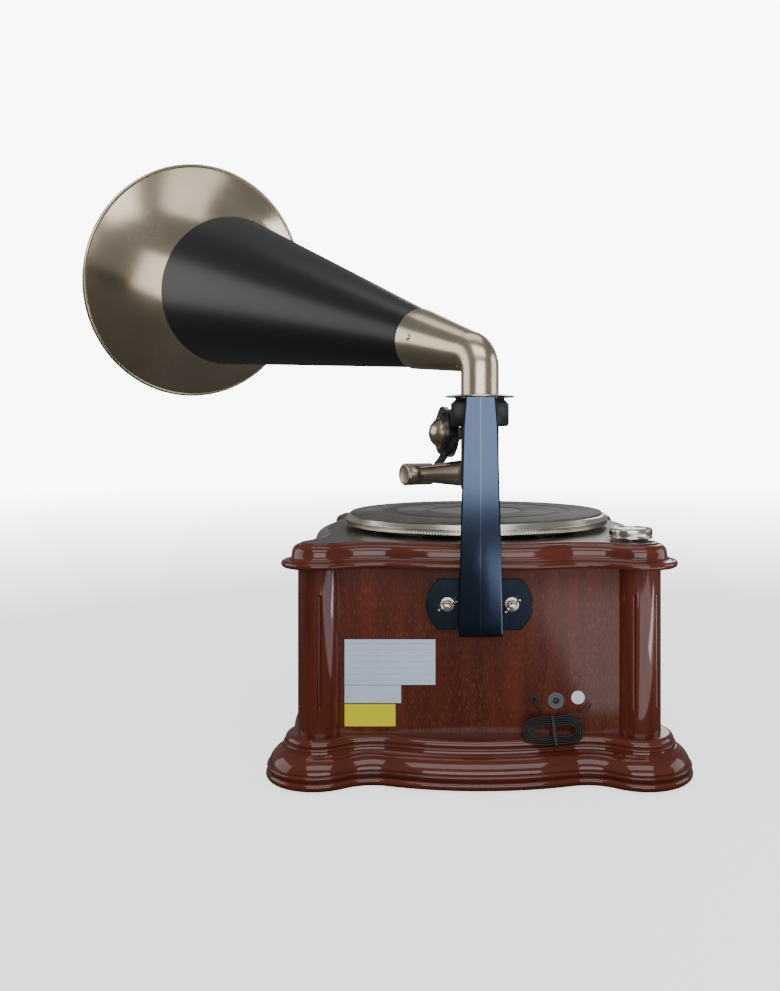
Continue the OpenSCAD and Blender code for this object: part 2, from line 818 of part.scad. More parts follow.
module tuning_knob() {
  color("#b08d4a") front_knob(knob_x);
}

module volume_knob() {
  color("#b08d4a") front_knob(-knob_x);
}

// Bracket: the plate has straight long edges and round ends with clipped corners
module bracket_plate() {
  color("#141823")
    translate([0, half, plate_z]) rotate([-90, 0, 0])
      difference() {
        linear_extrude(plate_t)
          intersection() {
            square([plate_w, plate_h], center = true);
            union() {
              square([plate_w - 20, plate_h], center = true);
              for (s = [-1, 1]) translate([s * (plate_w / 2 - plate_h * 0.62), 0])
                circle(r = plate_h * 0.62);
            }
          }
        for (x = [-bolt_x, bolt_x])
          translate([x, 0, -1]) cylinder(r = bolt_r, h = plate_t + 2);
      }
}

bar_low = plate_z - plate_h / 2;
bar_top = collar_top;
bar_foot_y = half + 37;
bar_head_y = pivot_y + collar_r;
crown = 4;
function bar_y(t) = mix(bar_foot_y, bar_head_y + bar_t, t) + bar_bow * sin(180 * t);
bar_steps = 10;
bar_side = [for (i = [0 : bar_steps]) [bar_y(i / bar_steps), mix(bar_low, bar_top, i / bar_steps)]];
bar_side_in = [for (i = [bar_steps : -1 : 0])
  let (t = i / bar_steps) [bar_y(t) - bar_t, max(bar_low + bar_t, mix(bar_low, bar_top, t))]];
bar_front = [
  [-bar_w_foot / 2, bar_low], [bar_w_foot / 2, bar_low],
  [bar_w_top / 2, collar_low], [bar_w_top / 2 - 2, bar_top],
  [2 - bar_w_top / 2, bar_top], [-bar_w_top / 2, collar_low]
];
module bar_half() {
  intersection() {
    translate([0, bar_foot_y, 0]) rotate([0, 0, -crown]) translate([0, -bar_foot_y, 0])
      rotate([90, 0, 90]) translate([0, 0, -1])
        linear_extrude(bar_w_foot)
          polygon(concat([[half + plate_t, bar_low]], bar_side, bar_side_in,
                         [[half + plate_t, bar_low + bar_t]]));
    translate([0, half + plate_t, 0]) cube([far, far, far]);
    translate([0, far, 0]) rotate([90, 0, 0]) linear_extrude(far) polygon(bar_front);
    difference() {
      cube([far, far, far]);
      translate([-1, 0, collar_low - 1]) cube([far, bar_head_y, far]);
    }
  }
}

module bracket_bar() {
  color("#1c2230") {
    bar_half();
    mirror([1, 0, 0]) bar_half();
  }
}

// Bolts with round heads inside the case
bolt_out = 13;
module bracket_bolts() {
  color("#c4c0b4")
    for (x = [-bolt_x, bolt_x])
      translate([x, half, plate_z]) rotate([-90, 0, 0]) {
        translate([0, 0, -panel_t]) cylinder(r = bolt_r, h = panel_t + plate_t + bolt_out);
        translate([0, 0, -panel_t - 3]) cylinder(r = bolt_r * 2.2, h = 3);
      }
}

washer_t = 1;
washer_r = 6.4;
module bracket_washers() {
  color("#c9c4b4")
    for (x = [-bolt_x, bolt_x])
      translate([x, half + plate_t, plate_z]) rotate([-90, 0, 0])
        difference() {
          cylinder(r = washer_r, h = washer_t);
          translate([0, 0, -1]) cylinder(r = bolt_r + 0.3, h = washer_t + 2);
        }
}

nut_r = 4.6;
nut_h = 5;
wing_reach = 9.6;
wing_t = 1.8;
module wing_nut(x, turn) {
  color("#cfc8b2")
    translate([x, half + plate_t + washer_t, plate_z]) rotate([-90, 0, 0]) rotate([0, 0, turn])
      difference() {
        union() {
          cylinder(r = nut_r, h = nut_h);
          for (s = [0, 180])
            rotate([0, 0, s]) translate([2, -wing_t / 2, 1])
              rotate([90, 0, 0]) translate([0, 0, -wing_t])
                linear_extrude(wing_t)
                  polygon([[0, 0], [wing_reach - 4, 0], [wing_reach - 2, 5], [wing_reach - 2.6, 8],
                           [wing_reach - 5, 8], [wing_reach - 6, 4.6], [0, 4]]);
        }
        translate([0, 0, -1]) cylinder(r = bolt_r + run, h = far);
      }
}

module left_wing_nut() {
  wing_nut(bolt_x, 25);
}

module right_wing_nut() {
  wing_nut(-bolt_x, 40);
}

// Pivot: the bush sits in the collar, the tonearm hangs in it by a lip and the neck stands in it
bush_r = 21;
lip_r = neck_r + 1.6;
lip_h = 2.5;
shoulder_z = collar_low + 9;
tube_wall = 2;
module pivot_collar() {
  color("#16181c")
    translate([0, pivot_y, 0]) {
      rotate_extrude()
        polygon([[bush_r, collar_low], [collar_r - 2, collar_low], [collar_r, collar_low + 2],
                 [collar_r, collar_top - 5], [collar_r - 4, collar_top - 1],
                 [collar_r - 4, collar_top], [bush_r, collar_top]]);
      difference() {
        translate([-bar_w_top / 2 + 3, 0, collar_low]) cube([bar_w_top - 6, collar_r, collar_h]);
        translate([0, 0, collar_low - 1]) cylinder(r = bush_r, h = collar_h + 2);
      }
    }
}

module pivot_bush() {
  color("#a8873c")
    translate([0, pivot_y, 0])
      difference() {
        translate([0, 0, collar_low]) cylinder(r = bush_r, h = collar_h);
        translate([0, 0, collar_low - 1]) cylinder(r = neck_r + run, h = collar_h);
        translate([0, 0, shoulder_z]) cylinder(r = lip_r + run, h = collar_h);
      }
}

flange_gap = 0.3;
flange_t = 1.6;
module pivot_flange() {
  color("#a79c84")
    translate([0, pivot_y, collar_top + flange_gap])
      rotate_extrude()
        polygon([[lip_r + 0.01, 0], [flange_r, 0.6], [flange_r, flange_t], [neck_r, flange_t + 2],
                 [neck_r, flange_t + 0.6], [lip_r + 0.01, flange_t]]);
}

// Horn frame: its own Z runs along the horn, from the bend in the neck
module on_horn() {
  translate([0, pivot_y, bend_z]) rotate([0, 0, horn_yaw]) rotate([90 - horn_pitch, 0, 0])
    children();
}

cone_r_start = cone_end_r - cone_slope * cone_s;
function cone_r(s) = cone_r_start + cone_slope * s;
socket_wall = 1.6;
cone_start_s = socket_s - 20;
screw_s = socket_s - 15;
screw_turn = 5;
screw_r = 1.5;
module screw_places() {
  for (i = [0 : 2])
    on_horn() rotate([0, 0, screw_turn + 120 * i])
      translate([socket_r(screw_s), 0, screw_s]) rotate([0, 90 + atan(socket_slope), 0]) children();
}

// The neck turns into the horn on a tight round bend, whose inner side is a sharp corner
bend_r = 9;
bend_in = bend_r * tan((90 - horn_pitch) / 2);
tube_step = 0.6;
socket_slope = (cone_r(socket_s) + socket_wall - neck_r - 2 * tube_step) / (socket_s - bend_in);
function socket_r(s) = cone_r(socket_s) + socket_wall - socket_slope * (socket_s - s);
module neck_bend(r) {
  translate([0, pivot_y, bend_z - bend_in]) rotate([0, 0, horn_yaw]) translate([0, -bend_r, 0])
    rotate([90, 0, 90])
      rotate_extrude(angle = 91 - horn_pitch)
        intersection() {
          translate([bend_r, 0]) circle(r = r);
          translate([0, -r]) square([bend_r + r, 2 * r]);
        }
}

neck_low = shoulder_z + lip_h + 0.5;
module horn_elbow() {
  neck_bore = neck_r - tube_wall;
  color("#a09274")
    difference() {
      union() {
        translate([0, pivot_y, neck_low]) cylinder(r = lip_r, h = collar_top + flange_gap - neck_low);
        translate([0, pivot_y, collar_top]) cylinder(r = neck_r, h = bend_h - bend_in + 0.5);
        neck_bend(neck_r + tube_step);
        on_horn() translate([0, 0, bend_in])
          cylinder(r1 = socket_r(bend_in), r2 = socket_r(socket_s), h = socket_s - bend_in);
      }
      translate([0, pivot_y, collar_low]) cylinder(r = neck_bore, h = bend_z - bend_in + 0.3 - collar_low);
      neck_bend(neck_bore - 0.4);
      on_horn() {
        translate([0, 0, bend_in])
          cylinder(r1 = neck_bore + 0.4, r2 = cone_r(cone_start_s) - 1, h = cone_start_s - bend_in);
        translate([0, 0, cone_start_s])
          cylinder(r1 = cone_r(cone_start_s), r2 = cone_r(socket_s + 1), h = socket_s - cone_start_s + 1);
      }
      screw_places() translate([0, 0, -8]) cylinder(r = screw_r, h = 20, $fn = 24);
    }
}

module socket_screws() {
  color("#d8d2c0")
    screw_places() {
      translate([0, 0, -4.6]) cylinder(r = screw_r, h = 5, $fn = 24);
      translate([0, 0, 0.02]) cylinder(r = 3.6, h = 0.6, $fn = 32);
      translate([0, 0, 0.6]) cylinder(r1 = 2.8, r2 = 2.2, h = 1.2, $fn = 32);
    }
}

// The black cone, its small end inside the socket
module horn_cone() {
  color("#101216")
    difference() {
      on_horn() rotate_extrude($fn = 128)
        polygon([[cone_r(cone_start_s) - sheet_t, cone_start_s], [cone_r(cone_start_s), cone_start_s],
                 [cone_r(cone_s), cone_s], [cone_r(cone_s) - sheet_t, cone_s]]);
      screw_places() translate([0, 0, -8]) cylinder(r = screw_r, h = 12, $fn = 24);
    }
}

// The bell: a sleeve inside the cone's end, a flare on one arc and a rolled edge
flare_a0 = 15;
roll_at = [rim_r - roll_r, rim_s - roll_r];
flare_dr = roll_at[0] - roll_r * sin(45) - (cone_end_r - sheet_t);
flare_ds = roll_at[1] - roll_r * cos(45) - cone_s;
flare_a1 = 2 * atan2(flare_dr, flare_ds) - flare_a0;
flare_r = norm([flare_dr, flare_ds]) / (2 * sin((flare_a1 - flare_a0) / 2));
sleeve_l = 14;
flare_n = 10;
function flare(t) =
  let (a = mix(flare_a0, flare_a1, t))
  [cone_end_r - sheet_t + flare_r * (cos(flare_a0) - cos(a)),
   cone_s + flare_r * (sin(a) - sin(flare_a0))];
module horn_bell() {
  color("#a89a78")
    on_horn() rotate_extrude($fn = 160)
      polygon(concat(
        [[cone_r(cone_s - sleeve_l) - sheet_t - 0.1, cone_s - sleeve_l]],
        [for (i = [0 : flare_n - 1]) flare(i / flare_n)],
        arc(roll_at, roll_r, 225, 540, 12),
        [for (i = [flare_n : -1 : 0]) flare(i / flare_n) - [sheet_t, 0]],
        [[cone_r(cone_s - sleeve_l) - 2 * sheet_t, cone_s - sleeve_l]]
      ));
}

// Tonearm frame: the arm points to -Y before it is turned
module on_arm() {
  translate([0, pivot_y, 0]) rotate([0, 0, arm_yaw]) children();
}

arm_low = deck_z + arm_foot_z;
arm_z = arm_low + arm_r_back;
hinge_z = arm_z - arm_drop;
arm_tilt = atan2(arm_drop, arm_l);
pin_hinge_r = 3;
module tonearm_tube() {
  inner = neck_r - tube_wall;
  color("#a09274")
    on_arm()
      difference() {
        union() {
          translate([0, 0, arm_low]) cylinder(r = neck_r, h = shoulder_z + lip_h - arm_low);
          translate([0, 0, shoulder_z + 0.1]) cylinder(r = lip_r, h = lip_h - 0.1);
          translate([0, 0, arm_z]) rotate([90 + arm_tilt, 0, 0])
            cylinder(r1 = arm_r_back, r2 = arm_r_front, h = arm_l);
          translate([-barrel_l / 2, -arm_l, hinge_z]) rotate([0, 90, 0])
            cylinder(r = barrel_r, h = barrel_l);
        }
        translate([0, 0, arm_low + tube_wall]) cylinder(r = inner, h = far);
        translate([0, 0, arm_z]) rotate([90 + arm_tilt, 0, 0])
          cylinder(r1 = arm_r_back - tube_wall, r2 = arm_r_front - tube_wall, h = arm_l - barrel_r - 1);
        translate([-barrel_l, -arm_l, hinge_z]) rotate([0, 90, 0])
          cylinder(r = pin_hinge_r + run, h = 2 * barrel_l, $fn = 48);
      }
}

// The head turns on a pin through the barrel, with a cap at one end and the lever at the other
side_gap = 0.3;
cap_t = 3;
lever_t = 3;
lever_in = -barrel_l / 2 - side_gap;
cap_in = barrel_l / 2 + side_gap;
module hinge_pin() {
  color("#8d8a84")
    on_arm() translate([lever_in - lever_t, -arm_l, hinge_z]) rotate([0, 90, 0])
      cylinder(r = pin_hinge_r, h = cap_in - lever_in + lever_t + 1, $fn = 48);
}

module hinge_cap() {
  color("#b5b0a0")
    on_arm() translate([cap_in, -arm_l, hinge_z]) rotate([0, 90, 0])
      difference() {
        rotate_extrude()
          polygon([[0, 0], [barrel_r, 0], [barrel_r, cap_t - 1], [barrel_r - 1, cap_t], [0, cap_t]]);
        translate([0, 0, -1]) cylinder(r = pin_hinge_r, h = 2, $fn = 48);
      }
}

box_at = [0, box_back - arm_l, hinge_z + box_up];
module on_box() {
  on_arm() translate(box_at) rotate([0, 0, -box_twist]) rotate([0, 90, 0]) children();
}

boss_r = 6;
lever_eye_r = 8;
module lever_boss() {
  on_arm() translate([lever_in - lever_t, box_at[1], box_at[2]]) rotate([0, 90, 0])
    cylinder(r = boss_r, h = -lever_in + lever_t - 1, $fn = 48);
}

module head_lever() {
  color("#141414") {
    on_arm() translate([lever_in, 0, 0]) rotate([0, -90, 0])
      difference() {
        linear_extrude(lever_t)
          union() {
            translate([hinge_z, -arm_l]) circle(r = lever_eye_r);
            translate([box_at[2], box_at[1]]) circle(r = boss_r);
            translate([hinge_z, -arm_l]) rotate(atan2(box_back, box_up))
              translate([0, -4]) square([norm([box_back, box_up]), 8]);
          }
        translate([hinge_z, -arm_l, -1]) cylinder(r = pin_hinge_r, h = far, $fn = 48);
      }
    lever_boss();
  }
}

// Sound box: a black drum with a stepped edge, the brass dome on its open face
module sound_box() {
  color("#121316")
    difference() {
      on_box() rotate_extrude()
        polygon([[0, -box_t / 2], [box_r - 4, -box_t / 2], [box_r, 2 - box_t / 2], [box_r, box_t / 2 - 3],
                 [box_r - 2, box_t / 2 - 3], [box_r - 3, box_t / 2], [0, box_t / 2]]);
      lever_boss();
      cartridge_block();
    }
}

dome_h = 9;
dome_lip = 1.2;
dome_sphere_r = (dome_r * dome_r + dome_h * dome_h) / (2 * dome_h);
module sound_box_dome() {
  color("#9a8a66")
    on_box() translate([0, 0, box_t / 2]) {
      intersection() {
        translate([0, 0, dome_h - dome_sphere_r + dome_lip]) sphere(r = dome_sphere_r);
        translate([0, 0, dome_lip]) cylinder(r = dome_r, h = dome_h + 1);
      }
      cylinder(r = dome_r + 1, h = dome_lip);
    }
}

// Pickup: the cartridge is let into the drum's edge, and points down when the head is lowered
tip_reach = box_r + 8;
record_room = 2;
park_angle = atan2(box_up, box_back);
tip_drop = hinge_z - mat_z - record_room - tip_reach;
tip_turn = 180 - park_angle + asin(tip_drop / norm([box_back, box_up]));
module on_tip() {
  on_box() rotate([0, 0, -tip_turn]) children();
}

module cartridge_block() {
  on_tip() translate([box_r - 9, -5, -4]) cube([12, 10, 8]);
}

module cartridge() {
  color("#232323") cartridge_block();
}

module stylus() {
  color("#c8c8c8")
    on_tip() translate([box_r + 3, 0, 0]) rotate([0, 90, 0]) {
      cylinder(r = 1.2, h = 3, $fn = 24);
      translate([0, 0, 3]) cylinder(r1 = 0.8, r2 = 0.3, h = 2, $fn = 24);
    }
}

rubber_feet();
base_moulding();
bottom_board();
corner_columns();
back_panel();
front_panel();
left_side_panel();
right_side_panel();
top_moulding();
deck_board();
bearing_housing();
platter();
platter_mat();
platter_spindle();
drive_belt();
motor();
motor_pulley();
deck_knob();
deck_knob_cap();
circuit_board();
speaker_drivers();
speaker_grilles();
power_inlet();
power_inlet_pin();
aerial_grommet();
aerial_wire();
aerial_hank();
aerial_tail();
wire_tie();
white_labels();
yellow_label();
round_sticker();
fascia_plate();
dial_window();
dial_pointer();
tuning_knob();
volume_knob();
bracket_plate();
bracket_bar();
bracket_bolts();
bracket_washers();
left_wing_nut();
right_wing_nut();
pivot_collar();
pivot_bush();
pivot_flange();
horn_elbow();
socket_screws();
horn_cone();
horn_bell();
tonearm_tube();
hinge_pin();
hinge_cap();
head_lever();
sound_box();
sound_box_dome();
cartridge();
stylus();
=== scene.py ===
import math

import bmesh
import bpy
from mathutils import Matrix, Vector


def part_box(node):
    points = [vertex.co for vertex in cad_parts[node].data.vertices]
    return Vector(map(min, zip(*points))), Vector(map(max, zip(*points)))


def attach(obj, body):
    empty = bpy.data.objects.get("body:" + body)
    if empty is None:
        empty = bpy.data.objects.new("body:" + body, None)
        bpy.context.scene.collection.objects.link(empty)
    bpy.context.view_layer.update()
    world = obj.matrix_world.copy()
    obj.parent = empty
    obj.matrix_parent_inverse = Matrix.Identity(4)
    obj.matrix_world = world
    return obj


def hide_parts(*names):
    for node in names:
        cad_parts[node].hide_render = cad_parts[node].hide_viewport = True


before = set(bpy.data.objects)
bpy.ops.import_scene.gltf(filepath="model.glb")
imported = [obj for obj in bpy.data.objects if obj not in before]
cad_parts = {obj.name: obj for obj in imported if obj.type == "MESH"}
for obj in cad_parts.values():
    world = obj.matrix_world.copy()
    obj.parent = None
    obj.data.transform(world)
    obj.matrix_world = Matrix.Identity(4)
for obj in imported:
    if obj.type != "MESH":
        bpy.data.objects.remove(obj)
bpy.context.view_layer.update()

# Camera: it stands level behind the machine, a little above the platter, and looks square at the
# back of the case. The lens is shifted, as the photograph's frame was cut off its centre.
photo_h, focal = 991, 873.6


def placed(name, data):
    """A new object with this data, in the scene."""
    made = bpy.data.objects.new(name, data)
    bpy.context.scene.collection.objects.link(made)
    return made


camera_data = bpy.data.cameras.new("camera")
camera_data.sensor_width = 36
camera_data.lens = 36 * focal / photo_h
camera_data.shift_x = -68.0 / photo_h
camera_data.shift_y = -60.4 / photo_h
camera = placed("camera", camera_data)
camera.matrix_world = Matrix((
    (-1, 0, 0, 0.0195),
    (0, 0, 1, 0.9439),
    (0, 1, 0, 0.3102),
    (0, 0, 0, 1),
))
bpy.context.scene.camera = camera

# Aerial: a thin black insulated wire that comes out of a grommet in the back panel, is wound
# into a flat hank of eight loops held by a tie, and ends bare beside the hank.
wire_d = 1.4
hank_loops = 4
hank_half = (28, 13.4)
hank_at = Vector((-66, 165.4, 46.6))
hank_yaw, hank_slope = 10, 60
hank_step = wire_d + 0.6
waist_in = 1.2
waist_half = 10
panel_face = 154
grommet_at = (-49, 72)


def finish(name, colour, roughness, metal=0.0, coat=0.0, coat_roughness=0.1, specular=0.5):
    """A new material, its shader's own values set, ready for its pattern."""
    material = bpy.data.materials.new(name)
    material.use_nodes = True
    for key, value in (("Base Color", (*colour, 1)), ("Roughness", roughness), ("Metallic", metal),
                       ("Coat Weight", coat), ("Coat Roughness", coat_roughness),
                       ("Specular IOR Level", specular)):
        drive(material, key, value)
    return material


def fill(material, node, inputs):
    """Sets a node's inputs from (name or number, value) pairs; a value that is a socket is linked."""
    for key, value in inputs:
        if isinstance(value, bpy.types.NodeSocket):
            material.node_tree.links.new(value, node.inputs[key])
        else:
            node.inputs[key].default_value = value
    return node


def add_node(material, kind, **inputs):
    return fill(material, material.node_tree.nodes.new("ShaderNode" + kind), inputs.items())


def drive(material, key, value):
    """Sets one input of the material's own shader, or links a socket into it."""
    fill(material, material.node_tree.nodes["Principled BSDF"], [(key, value)])


def stretched(material, scale=(1, 1, 1), uv=None):
    """Object coordinates, or a UV map's, stretched by scale."""
    if uv:
        source = add_node(material, "UVMap")
        source.uv_map = uv
        vector = source.outputs["UV"]
    else:
        vector = add_node(material, "TexCoord").outputs["Object"]
    return add_node(material, "Mapping", Vector=vector, Scale=scale).outputs["Vector"]


def speckle(material, vector, scale, detail=6.0, roughness=0.6, distortion=0.0):
    return add_node(material, "TexNoise", Vector=vector, Scale=scale, Detail=detail,
                    Roughness=roughness, Distortion=distortion).outputs["Fac"]


def band(material, value, low, high):
    """A value mapped to the range low to high."""
    return add_node(material, "MapRange", Value=value,
                    **{"To Min": low, "To Max": high}).outputs["Result"]


def grained_gloss(material, scale, low, high, detail=6.0, roughness=0.6):
    """Varies the gloss between two values with an even grain, and gives the grain."""
    grain = speckle(material, stretched(material), scale, detail, roughness)
    drive(material, "Roughness", band(material, grain, low, high))
    return grain


def raise_grain(material, height, strength, distance):
    bump = add_node(material, "Bump", Height=height, Strength=strength, Distance=distance)
    drive(material, "Normal", bump.outputs["Normal"])


def grained(name, colour, gloss, scale, low, high, detail=6.0, raised=0.0, rise=0.0001, **looks):
    """A finish with an even grain in its gloss and, where raised is given, in its surface."""
    material = finish(name, colour, gloss, **looks)
    grain = grained_gloss(material, scale, low, high, detail)
    if raised:
        raise_grain(material, grain, raised, rise)
    return material


def plastic(name, colour, roughness, raised=0.2):
    """Moulded plastic, with a fine even grain."""
    return grained(name, colour, roughness, 1400, roughness - 0.08, roughness + 0.08,
                   raised=raised, rise=0.00005)


def hank_point(t):
    """A place along the winding: in on the lower layer, out again on the upper one."""
    turn = math.radians(90 + 360 * t)
    inward = (t if t <= hank_loops else 2 * hank_loops - t) * hank_step
    layer = max(0.0, min(1.0, (t - hank_loops + 0.25) * 2))
    length, width = hank_half[0] - inward, hank_half[1] - inward
    c, s = math.cos(turn), math.sin(turn)
    x = (length - width) * c * (15 - 10 * c ** 2 + 3 * c ** 4) / 8 + width * c
    pinch = waist_in * math.exp(-((x / waist_half) ** 2))
    y = -width * s + math.copysign(pinch, s) * min(1.0, abs(s) * 1.6)
    z = (layer - 0.5) * hank_step
    yaw, slope = math.radians(hank_yaw), math.radians(hank_slope)
    across = y * math.cos(slope) + z * math.sin(slope)
    return hank_at + Vector((x * math.cos(yaw) - across * math.sin(yaw),
                             x * math.sin(yaw) + across * math.cos(yaw),
                             -y * math.sin(slope) + z * math.cos(slope)))


def smooth(points, steps):
    """A smooth curve through set points."""
    points = [Vector(p) for p in points]
    last = len(points) - 1
    made = []
    for i in range(last):
        a, b, c, d = points[max(i - 1, 0)], points[i], points[i + 1], points[min(i + 2, last)]
        for k in range(steps):
            t = k / steps
            made.append(0.5 * (2 * b + (c - a) * t + (2 * a - 5 * b + 4 * c - d) * t * t
                               + (3 * b - a - 3 * c + d) * t ** 3))
    return made + [points[last]]


loop_points = 24
core = [hank_point(i / loop_points) for i in range(2 * hank_loops * loop_points + 1)]
way_in = (core[1] - core[0]).normalized()
way_out = (core[-1] - core[-2]).normalized()
hank_start, hank_end = core[0] - wire_d * way_in, core[-1] + wire_d * way_out
grommet_mouth = Vector((grommet_at[0], panel_face + 1.5, grommet_at[1]))
run_in = smooth([
    grommet_mouth, (grommet_at[0], panel_face + 4, grommet_at[1]), (-49.9, 160.8, 70.5),
    (-51.4, 162.1, 67.3), (-53.5, 161.3, 63.9), (-55.8, 160.2, 59.9), hank_start - 3.5 * way_in,
    hank_start,
], 4)
run_out = smooth([
    hank_end, hank_end + 5 * way_out,
    (-82, 160.2, 59.5), (-91, 159.5, 60.5), (-97, 159.5, 64), (-99.5, 160, 69),
], 4)
route = [p * 0.001 for p in run_in + core + run_out]
wire_curve = bpy.data.curves.new("aerial_cord", "CURVE")
wire_curve.dimensions = "3D"
wire_curve.bevel_depth = wire_d / 2000
wire_curve.bevel_resolution = 3
wire_curve.use_fill_caps = True
line = wire_curve.splines.new("POLY")
line.points.add(len(route) - 1)
for point, p in zip(line.points, route):
    point.co = (*p, 1)
line.use_smooth = True
insulation = plastic("wire_insulation", (0.012, 0.012, 0.014), 0.38, 0.1)
wire_curve.materials.append(insulation)
aerial = placed("aerial_cord", wire_curve)
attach(aerial, "cabinet")
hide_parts("aerial_wire", "aerial_hank", "aerial_tail")

# Tie: a flat band of plastic-covered wire once round the hank's waist. Its twisted ends are left off.
MM = Matrix.Scale(0.001, 4)
tie_gap, tie_w, tie_t = 0.35, 2.8, 0.7


def drawn(name, shape):
    """A plain mesh of (points, faces)."""
    mesh = bpy.data.meshes.new(name)
    mesh.from_pydata([tuple(p) for p in shape[0]], [], shape[1])
    return mesh


def merged(mesh, gap=1e-4, outwards=True):
    """Joins a mesh's doubled points and turns its faces outwards."""
    shell = bmesh.new()
    shell.from_mesh(mesh)
    bmesh.ops.remove_doubles(shell, verts=shell.verts, dist=gap)
    if outwards:
        bmesh.ops.recalc_face_normals(shell, faces=shell.faces)
    shell.to_mesh(mesh)
    shell.free()
    return mesh


def make_piece(name, shape, place, body, material, nodes, sharp=32, bevel=0.0, uv=None):
    """One piece from (points, faces) in millimetres, closed and riding on its body."""
    mesh = drawn(name, shape)
    if uv:
        layer = mesh.uv_layers.new(name="grain")
        for corner in mesh.loops:
            layer.data[corner.index].uv = uv[corner.vertex_index]
    merged(mesh).transform(MM @ place)
    return keep(name, mesh, body, material, nodes, sharp, bevel)


def keep(name, mesh, body, material, nodes, sharp=32, bevel=0.0):
    """Shades a mesh smooth up to an angle and makes it a piece on its body."""
    mesh.polygons.foreach_set("use_smooth", [True] * len(mesh.polygons))
    mesh.set_sharp_from_angle(angle=math.radians(sharp))
    mesh.materials.clear()
    mesh.materials.append(material)
    piece = placed(name, mesh)
    if bevel:
        edge = piece.modifiers.new("edge", "BEVEL")
        edge.width = bevel * 0.001
        edge.segments = 2
        edge.limit_method = "ANGLE"
        edge.angle_limit = math.radians(35)
    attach(piece, body)
    if nodes:
        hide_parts(*nodes)
    return piece


def oblong(left, right, low, high):
    return [(left, low), (right, low), (right, high), (left, high)]


def eased(points, radius, steps=3, closed=True):
    """An outline with its corners rounded."""
    made = []
    count = len(points)
    for i, p in enumerate(points):
        b = Vector(p)
        if not closed and i in (0, count - 1):
            made.append(b)
            continue
        u, v = Vector(points[i - 1]) - b, Vector(points[(i + 1) % count]) - b
        angle = u.angle(v)
        if angle > math.radians(168):
            made.append(b)
            continue
        cut = min(radius / math.tan(angle / 2), 0.45 * u.length, 0.45 * v.length)
        start, stop = b + u.normalized() * cut, b + v.normalized() * cut
        for k in range(steps + 1):
            w = k / steps
            made.append((1 - w) ** 2 * start + 2 * w * (1 - w) * b + w * w * stop)
    return made


def skin(rows, ends=False):
    """A skin through closed rows of points, shut by two ends or by joining the last row to the first."""
    count, faces = len(rows[0]), []
    for i in range(len(rows) - ends):
        j = (i + 1) % len(rows)
        for k in range(count):
            n = (k + 1) % count
            faces.append((i * count + k, i * count + n, j * count + n, j * count + k))
    points = [p for row in rows for p in row]
    if ends:
        faces += [tuple(range(count))[::-1], tuple(range(len(points) - count, len(points)))]
    return points, faces


def at(x, y, z):
    return Matrix.Translation((x, y, z))


def turned(degrees, axis):
    return Matrix.Rotation(math.radians(degrees), 4, axis)


hank_frame = at(*hank_at) @ turned(hank_yaw, "Z") @ turned(-hank_slope, "X")
tie_reach = hank_half[1] - waist_in + wire_d / 2 + tie_gap
tie_rise = hank_step / 2 + wire_d / 2 + tie_gap
tie_line = eased(oblong(-tie_reach, tie_reach, -tie_rise, tie_rise), 1.4, 5)
tie_section = eased(oblong(-tie_w / 2, tie_w / 2, 0, tie_t), 0.3, 2)
tie_rows = []
for i, p in enumerate(tie_line):
    ahead = (tie_line[(i + 1) % len(tie_line)] - tie_line[i - 1]).normalized()
    tie_rows.append([(side, p.x + ahead.y * lift, p.y - ahead.x * lift) for side, lift in tie_section])
tie = make_piece("wire_tie_band", skin(tie_rows), hank_frame, "cabinet",
                 plastic("tie_cover", (0.01, 0.01, 0.011), 0.45), ["wire_tie"])

# Feet: four low rubber pads screwed under the corners.
rubber = plastic("foot_rubber", (0.02, 0.02, 0.021), 0.75, 0.5)


def dress(node, material):
    """Gives a CAD node its finish and leaves its shape alone."""
    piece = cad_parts[node]
    piece.data.materials.clear()
    piece.data.materials.append(material)


dress("rubber_feet", rubber)

# Base moulding: solid wood cut to a wavy outline, with a round bead at the foot, a narrow one
# above it, a broad slope, a second narrow bead and a quarter round that meets the case. Stained
# and lacquered.
base_low = 2
base_h = 39
frame_open = 135
column_c = 145
corner_r = 44
dip_x, dip_depth, swell_drop = 94, 15.4, 2.3


def arc(cx, cy, r, a0, a1, n):
    """Points on an arc from angle a0 to a1, in degrees."""
    angles = [math.radians(a0 + (a1 - a0) * i / n) for i in range(n + 1)]
    return [(cx + r * math.cos(a), cy + r * math.sin(a)) for a in angles]


def outline(r):
    """The wavy outline of both mouldings at distance r from the corner rounds' centres."""
    steps = 10
    a, b = column_c - dip_x, corner_r - dip_depth
    hollow_r = (a * a + b * b - corner_r ** 2) / (2 * (corner_r - b))
    hollow_y = column_c + b + hollow_r
    swell_y = column_c + corner_r - swell_drop
    d = hollow_y - swell_y
    swell_r = (dip_x ** 2 + d * d - hollow_r ** 2) / (2 * (hollow_r - d))
    round_end = 90 + math.degrees(math.atan2(a, hollow_y - column_c))
    swell_start = math.degrees(math.atan2(hollow_y - (swell_y - swell_r), dip_x))
    side = arc(column_c, column_c, r, 45, round_end, steps)[:-1]
    side += arc(dip_x, hollow_y, hollow_r + corner_r - r, 180 + round_end, 180 + swell_start, steps)[:-1]
    side += arc(0, swell_y - swell_r, swell_r - corner_r + r, swell_start, 90, steps)
    side += [(-x, y) for x, y in side[-2:0:-1]]
    made = list(side)
    for _ in range(3):
        side = [(-y, x) for x, y in side]
        made += side
    return made


def run_length(line):
    """How far along a line each of its points lies, in metres."""
    made = [0.0]
    for p, q in zip(line, line[1:]):
        made.append(made[-1] + math.dist(p, q) / 1000)
    return made


